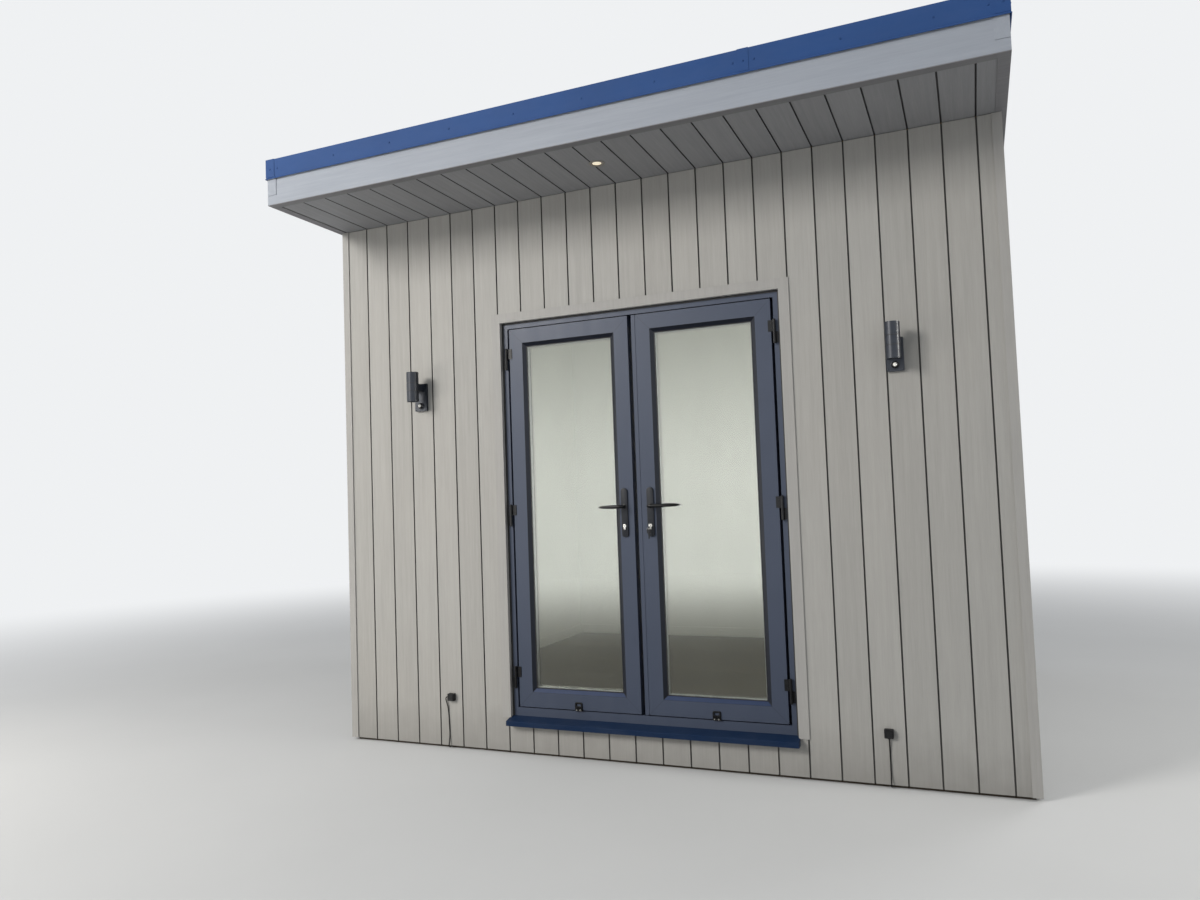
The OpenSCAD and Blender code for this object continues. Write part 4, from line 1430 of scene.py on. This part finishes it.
    def spindle(self) -> None:
        """Models the spindle between the two levers, square within the leaf."""
        depth, half = self.plate_size[1] + 0.004, self.spindle_half
        with block(f"{self.word}_spindle", (self.x - half, LEAF_FACE - depth, SPINDLE_Z - half),
                   (self.x + half, LEAF_BACK + depth, SPINDLE_Z + half)) as spindle:
            spindle.edges(Axis.Y).bevel(0.0006, 2)
        spindle.finish(CHROME, f"{self.word}_handle")

    def keys(self) -> None:
        """Models the key in the lock, and a second key that hangs from its bow on a ring."""
        for name, thin, finish, out, up, size in (
                ("key", Axis.X, CHROME, 0.0213, 0.0, (0.0022, 0.019, 0.021)),
                ("spare_key", Axis.Y, HARDWARE, 0.0263, -0.028, (0.021, 0.002, 0.024))):
            low, high = self.around(out, up, size)
            aside = Axis.X.vector(-0.002 if thin is Axis.Y else 0.0)
            with block(name, low + aside, high + aside) as bow:
                bow.edges(thin).bevel(0.007, 5)
                bow.open_ring(thin, 0.0055).sides(thin).bevel(0.0004, 1)
            bow.finish(finish, self.door)
        with block("key_blade", *self.around(0.0073, 0.0, (0.002, 0.011, 0.008))) as blade:
            blade.sides(Axis.X).inset(0.0012, each=True)
            blade.resize((0.6, 1.0, 1.0), (self.x, self.face, self.lock_z))
        blade.finish(CHROME, self.door)
        low, high = self.around(0.0263, -0.052, (0.006, 0.0014, 0.028))
        aside = Axis.X.vector(-0.002)
        with block("spare_key_blade", low + aside, high + aside) as shank:
            shank.edges(Axis.Y, lambda c: c.z < self.lock_z - 0.06).bevel(0.002, 2)
            shank.sides(Axis.Y).inset(0.0008, each=True)
        shank.finish(HARDWARE, self.door)
        bpy.ops.object.select_all(action="DESELECT")
        bpy.ops.mesh.primitive_torus_add(location=(self.x - 0.0005, self.face - 0.0253, self.lock_z - 0.0125),
                                         rotation=(0.35, 0.0, 0.25), major_radius=0.0115, minor_radius=0.0009,
                                         major_segments=32, minor_segments=8)
        Piece("key_ring").finish(CHROME, self.door)


@dataclass
class HingeTrim(LeafKit):
    """Caps of the knuckles and screws of the flags, at each hinge of a leaf."""

    heights: Triple = (0.402, 1.262, 2.108)
    half: float = 0.055
    radius: float = 0.0074
    pin_y: float = -1.2155
    pin_off: float = 0.731
    cap_height: float = 0.004
    cap_round: float = 0.0022
    flag: float = 0.003
    screw_in: float = 0.0135
    screw_lifts: Pair = (0.014, 0.040)
    screw_size: float = 0.62

    def build(self, screws: Screws) -> None:
        """Makes the caps and screws of the three hinges.

        Args:
            screws: The screws' maker.
        """
        x = DOOR_X + self.hand.value * self.pin_off
        lowest = self.heights[0]
        middle = (x, self.pin_y, lowest + self.half + self.cap_height / 2)
        with rod(f"{self.word}_hinge_cap_0", middle, self.radius, self.cap_height, Axis.Z, 28) as cap:
            cap.side(Axis.Z, 1).bevel(self.cap_round, 4)
        top = cap.finish(HARDWARE, self.door)
        for number, z in enumerate(self.heights):
            if number:
                lift = Matrix.Translation((0.0, 0.0, z - lowest))
                copied(top, f"{self.word}_hinge_cap_{number}", lift, HARDWARE, self.door)
            foot = Matrix.Translation((0.0, 0.0, z + lowest)) @ Matrix.Diagonal((1.0, 1.0, -1.0, 1.0))
            copied(top, f"{self.word}_hinge_foot_{number}", foot, HARDWARE)
            for lift in self.screw_lifts:
                place = (x - self.hand.value * self.screw_in, LEAF_FACE - self.flag, z + lift)
                screws.put(place, HARDWARE, "hinge_screw", self.screw_size, body=self.door)


@dataclass
class WallLight:
    """Lenses, retaining rings, sensor collar and lens, and screws of one wall light."""

    name: str
    x: float
    axis_y: float = -1.314
    radius: float = 0.029
    half: float = 0.082
    recess: float = 0.014
    plate_y: float = -1.238
    lens_height: float = 0.004
    ring_size: Triple = (0.0292, 0.003, 0.0035)
    tube_front: float = 0.0328
    sensor_z: float = 1.892
    collar_size: Pair = (0.0205, 0.004)
    eye_radius: float = 0.0098
    screw_sizes: Pair = (0.75, 0.5)
    corners: tuple[Pair, ...] = ((-0.031, -0.121), (0.031, -0.121), (0.031, 0.018), (-0.031, 0.018))

    def build(self, screws: Screws) -> None:
        """Makes the light's fine pieces.

        Args:
            screws: The screws' maker.
        """
        for word, way in (("upper", 1), ("lower", -1)):
            floor = LIGHT_Z + way * (self.half - self.recess)
            middle = Vector((self.x, self.axis_y, floor + way * self.lens_height / 2))
            with rod(f"{self.name}_{word}_lens", middle, self.radius - 0.0015, self.lens_height, Axis.Z, 40) as lens:
                lens.side(Axis.Z, way).inset(0.004).slide((0.0, 0.0, way * 0.0015))
                lens.inset(0.009).slide((0.0, 0.0, way * 0.001))
            lens.finish(LampLens(f"{self.name}_{word}_glass", middle=tuple(middle)))
            radius, height, width = self.ring_size
            middle = Vector((self.x, self.axis_y, floor + way * 0.0045))
            with rod(f"{self.name}_{word}_ring", middle, radius, height, Axis.Z, 40) as ring:
                ring.open_ring(Axis.Z, width).sides(Axis.Z).bevel(0.0006, 2)
            ring.finish(HOUSING)
        self.sensor()
        large, small = self.screw_sizes
        for dx, dz in self.corners:
            screws.put((self.x + dx, self.plate_y, LIGHT_Z + dz), HOUSING, "light_screw", large)
        foot = (self.x, self.axis_y - self.tube_front, LIGHT_Z - self.half + 0.012)
        screws.put(foot, HOUSING, "light_screw", small)

    def sensor(self) -> None:
        """Models the collar round the sensor and the white lens in its middle."""
        x, y, z = self.x, self.plate_y, self.sensor_z
        with rod(f"{self.name}_sensor_collar", (x, y - 0.002, z), *self.collar_size, Axis.Y, 40) as collar:
            collar.open_ring(Axis.Y, 0.004).front().bevel(0.001, 2)
        collar.finish(HOUSING)
        bpy.ops.object.select_all(action="DESELECT")
        bpy.ops.mesh.primitive_uv_sphere_add(segments=28, ring_count=16, radius=self.eye_radius,
                                             location=(x, y - 0.01, z))
        with Piece(f"{self.name}_sensor_lens") as lens:
            lens.pick(lambda c, n: True)
            bpy.ops.mesh.bisect(plane_co=(x, y - 0.011, z), plane_no=(0, 1, 0), clear_outer=True, use_fill=True)
        lens.finish(LampLens(f"{self.name}_sensor_glass", shade(240, 240, 236), rings=1500.0,
                             middle=(x, y - 0.0198, z)))


@dataclass
class Downlight:
    """The lamp in the overhang: its bright reflector and lens, set up in the flanged ring."""

    place: Triple = (-0.016, -1.512, 2.970)
    radius: float = 0.0275

    def build(self) -> None:
        """Makes the reflector ring and the lens."""
        x, y, z = self.place
        with rod("downlight_reflector", (x, y, z - 0.0012), self.radius, 0.0028, Axis.Z, 40) as ring:
            ring.side(Axis.Z, -1).inset(0.003).slide((0.0, 0.0, 0.0014))
        ring.finish(CHROME, slot="lamp_white")
        middle = Vector((x, y, z - 0.0024))
        with rod("downlight_lens", middle, self.radius - 0.0055, 0.004, Axis.Z, 40) as lens:
            lens.side(Axis.Z, -1).inset(0.004).slide((0.0, 0.0, -0.0012))
            lens.inset(0.007).slide((0.0, 0.0, -0.0006))
        lens.finish(LampLens("downlight_glass", shade(255, 241, 214), middle=tuple(middle), glow=0.55))


@dataclass
class Outlet:
    """One cable outlet: its lid with screws, the gland, and the cable that drops from it."""

    name: str
    x: float
    z: float
    exit_axis: Axis
    route: list[Triple]
    half: float = 0.020
    front: float = -1.242
    radius: float = 0.003
    lid: float = 0.003
    lid_round: float = 0.0065
    lid_steps: tuple[Pair, ...] = ((0.0008, -0.0006), (0.0028, 0.0010), (0.0008, -0.0014))
    gland_size: Pair = (0.0068, 0.003)
    screw_off: float = 0.0142
    screw_size: float = 0.36

    def build(self, screws: Screws) -> None:
        """Makes the lid, the gland and the cable.

        Args:
            screws: The screws' maker.
        """
        edge = self.half - 0.0022
        with block(f"{self.name}_outlet_lid", (self.x - edge, self.front - self.lid, self.z - edge),
                   (self.x + edge, self.front + 0.001, self.z + edge)) as lid:
            lid.edges(Axis.Y).bevel(self.lid_round, 4)
            lid.front(0.99)
            for width, out in self.lid_steps:
                lid.inset(width).slide((0.0, out, 0.0))
        lid.finish(OUTLET)
        for x in (self.x - self.screw_off, self.x + self.screw_off):
            for z in (self.z - self.screw_off, self.z + self.screw_off):
                screws.put((x, self.front - self.lid, z), OUTLET, "outlet_screw", self.screw_size)
        self.cable(self.gland())

    def gland(self) -> bpy.types.Object:
        """Models the tapered gland round the cable where it leaves the box.

        Returns:
            The gland.
        """
        axis = self.exit_axis
        start = Vector((self.x, FRONT - 0.008, self.z)) - axis.vector(self.half)
        with rod(f"{self.name}_gland", start - axis.vector(0.0015), *self.gland_size, axis, 6) as nut:
            nut.side(axis, -1).inset(0.0014)
            nut.extrude(axis.vector(-0.0015)).resize((0.93, 0.93, 0.93), start - axis.vector(0.0045))
            nut.extrude(axis.vector(-0.0025)).resize(axis.vector(1.0, 0.72), start - axis.vector(0.007))
            nut.inset(0.0003)
        return nut.finish(OUTLET, smooth=30.0)

    def cable(self, relief: bpy.types.Object) -> None:
        """Args:
            relief: The gland at its start; not used.
        """
        points = [Vector((self.x, FRONT, self.z)) + Vector(p) / 1000 for p in self.route]
        data = bpy.data.curves.new(f"{self.name}_lead", "CURVE")
        data.dimensions = "3D"
        data.bevel_depth = self.radius
        data.bevel_resolution = 3
        data.resolution_u = 5
        data.use_fill_caps = True
        spline = data.splines.new("BEZIER")
        spline.bezier_points.add(len(points) - 1)
        for knot, place in zip(spline.bezier_points, points):
            knot.co = place
            knot.handle_left_type = knot.handle_right_type = "AUTO"
        cable = bpy.data.objects.new(f"{self.name}_lead", data)
        bpy.context.scene.collection.objects.link(cable)
        hand_over(cable, SHEATH, "pod", [f"{self.name}_cable"])
        2 * self.radius


@dataclass
class FrameSealAndShadow:
    """The black seal that fills the joint between the door frame and its trims, which also stands as painted shadow
    in that gap.
    """

    low: Triple = (DOOR_X - 0.7602, -1.2045, 0.150)
    high: Triple = (DOOR_X + 0.7602, -1.1985, 2.3082)
    width: float = 0.0105

    def build(self) -> None:
        """Makes the seal as one ring with a soft front edge."""
        # The seal's black is partly painted shadow of the gap
        ring_frame("frame_seal_painted_shadow", self.low, self.high, self.width, 0.0015).finish(SEAL)


@dataclass
class SillEnds:
    """Folded ends of the sill's nose."""

    half: float = 0.766
    out: float = 0.050
    top: float = 0.183
    nose: float = 0.026
    thick: float = 0.0016
    slope: float = 0.0095

    def build(self) -> None:
        """Makes an end plate and its mirrored twin."""
        x, front = DOOR_X + self.half, FRONT - self.out
        with block("sill_end_right", (x, front + 0.0005, self.top - self.nose + 0.0005),
                   (x + self.thick, FRONT - 0.0075, self.top + 0.0085)) as plate:
            plate.edges(Axis.X, lambda c: c.z > self.top and c.y < front + 0.01).slide((0.0, 0.0, -self.slope))
            plate.edges(Axis.X).bevel(0.0015, 2)
            plate.side(Axis.X, 1).bevel(0.0005, 2)
        over = Matrix.Translation((2 * DOOR_X, 0.0, 0.0)) @ Matrix.Diagonal((-1.0, 1.0, 1.0, 1.0))
        copied(plate.finish(SILL_METAL), "sill_end_left", over, SILL_METAL)


# Points of the cables' routes, in millimetres from the middle of each box on the wall's face
FOOT = [(-3.2, 103), (-3.2, 73), (-4.5, 55), (-7.5, 39), (-10.5, 25), (-12, 12), (-11.1, 7.4), (-8.5, 3.5),
        (-4.6, 0.9), (0, 0), (8, 0), (21, 0)]


def foot_of(x: float, height: float) -> list[Triple]:
    """Returns the last points of a cable that hangs from a box at a height in millimetres."""
    return [(x, y, 7 + z - height) for y, z in FOOT]


RIGHT_ROUTE: list[Triple] = [(0, -8, -20), (0, -8, -34), (0, -7, -50), (0, -4.6, -68), (0, -3.2, -90),
                             (0, -3.2, -110)] + foot_of(0, 243)
LEFT_ROUTE: list[Triple] = [(-20, -8, 0), (-27, -8, 0), (-33, -8, -1.6), (-37.4, -8, -6), (-39, -8, -12),
                            (-37.6, -8, -19), (-34.8, -7.8, -28), (-31.6, -7.2, -39), (-29, -6, -51),
                            (-27.2, -4.8, -65), (-26, -3.8, -81), (-25, -3.2, -100), (-24, -3.2, -125),
                            (-23, -3.2, -148)] + foot_of(-22, 279)


def main() -> None:
    """Builds the studio, the finishes and every fine piece."""
    logging.basicConfig(level=logging.INFO, format="%(message)s")
    screws = Screws()
    Studio().build()
    Outlet("left", -1.107, 0.279, Axis.X, LEFT_ROUTE).build(screws)
    Outlet("right", 1.181, 0.243, Axis.Z, RIGHT_ROUTE).build(screws)
    dress_nodes()
    RoofEdge().build(screws)
    for hand in Hand:
        Glazing(hand).build()
        Furniture(hand).build()
        HingeTrim(hand).build(screws)
        WallLight(f"{hand.word}_light", DOOR_X + hand.value * LIGHT_OFF).build(screws)
    Downlight().build()
    FrameSealAndShadow().build()
    SillEnds().build()
    screws.close()


if __name__ == "__main__":
    main()
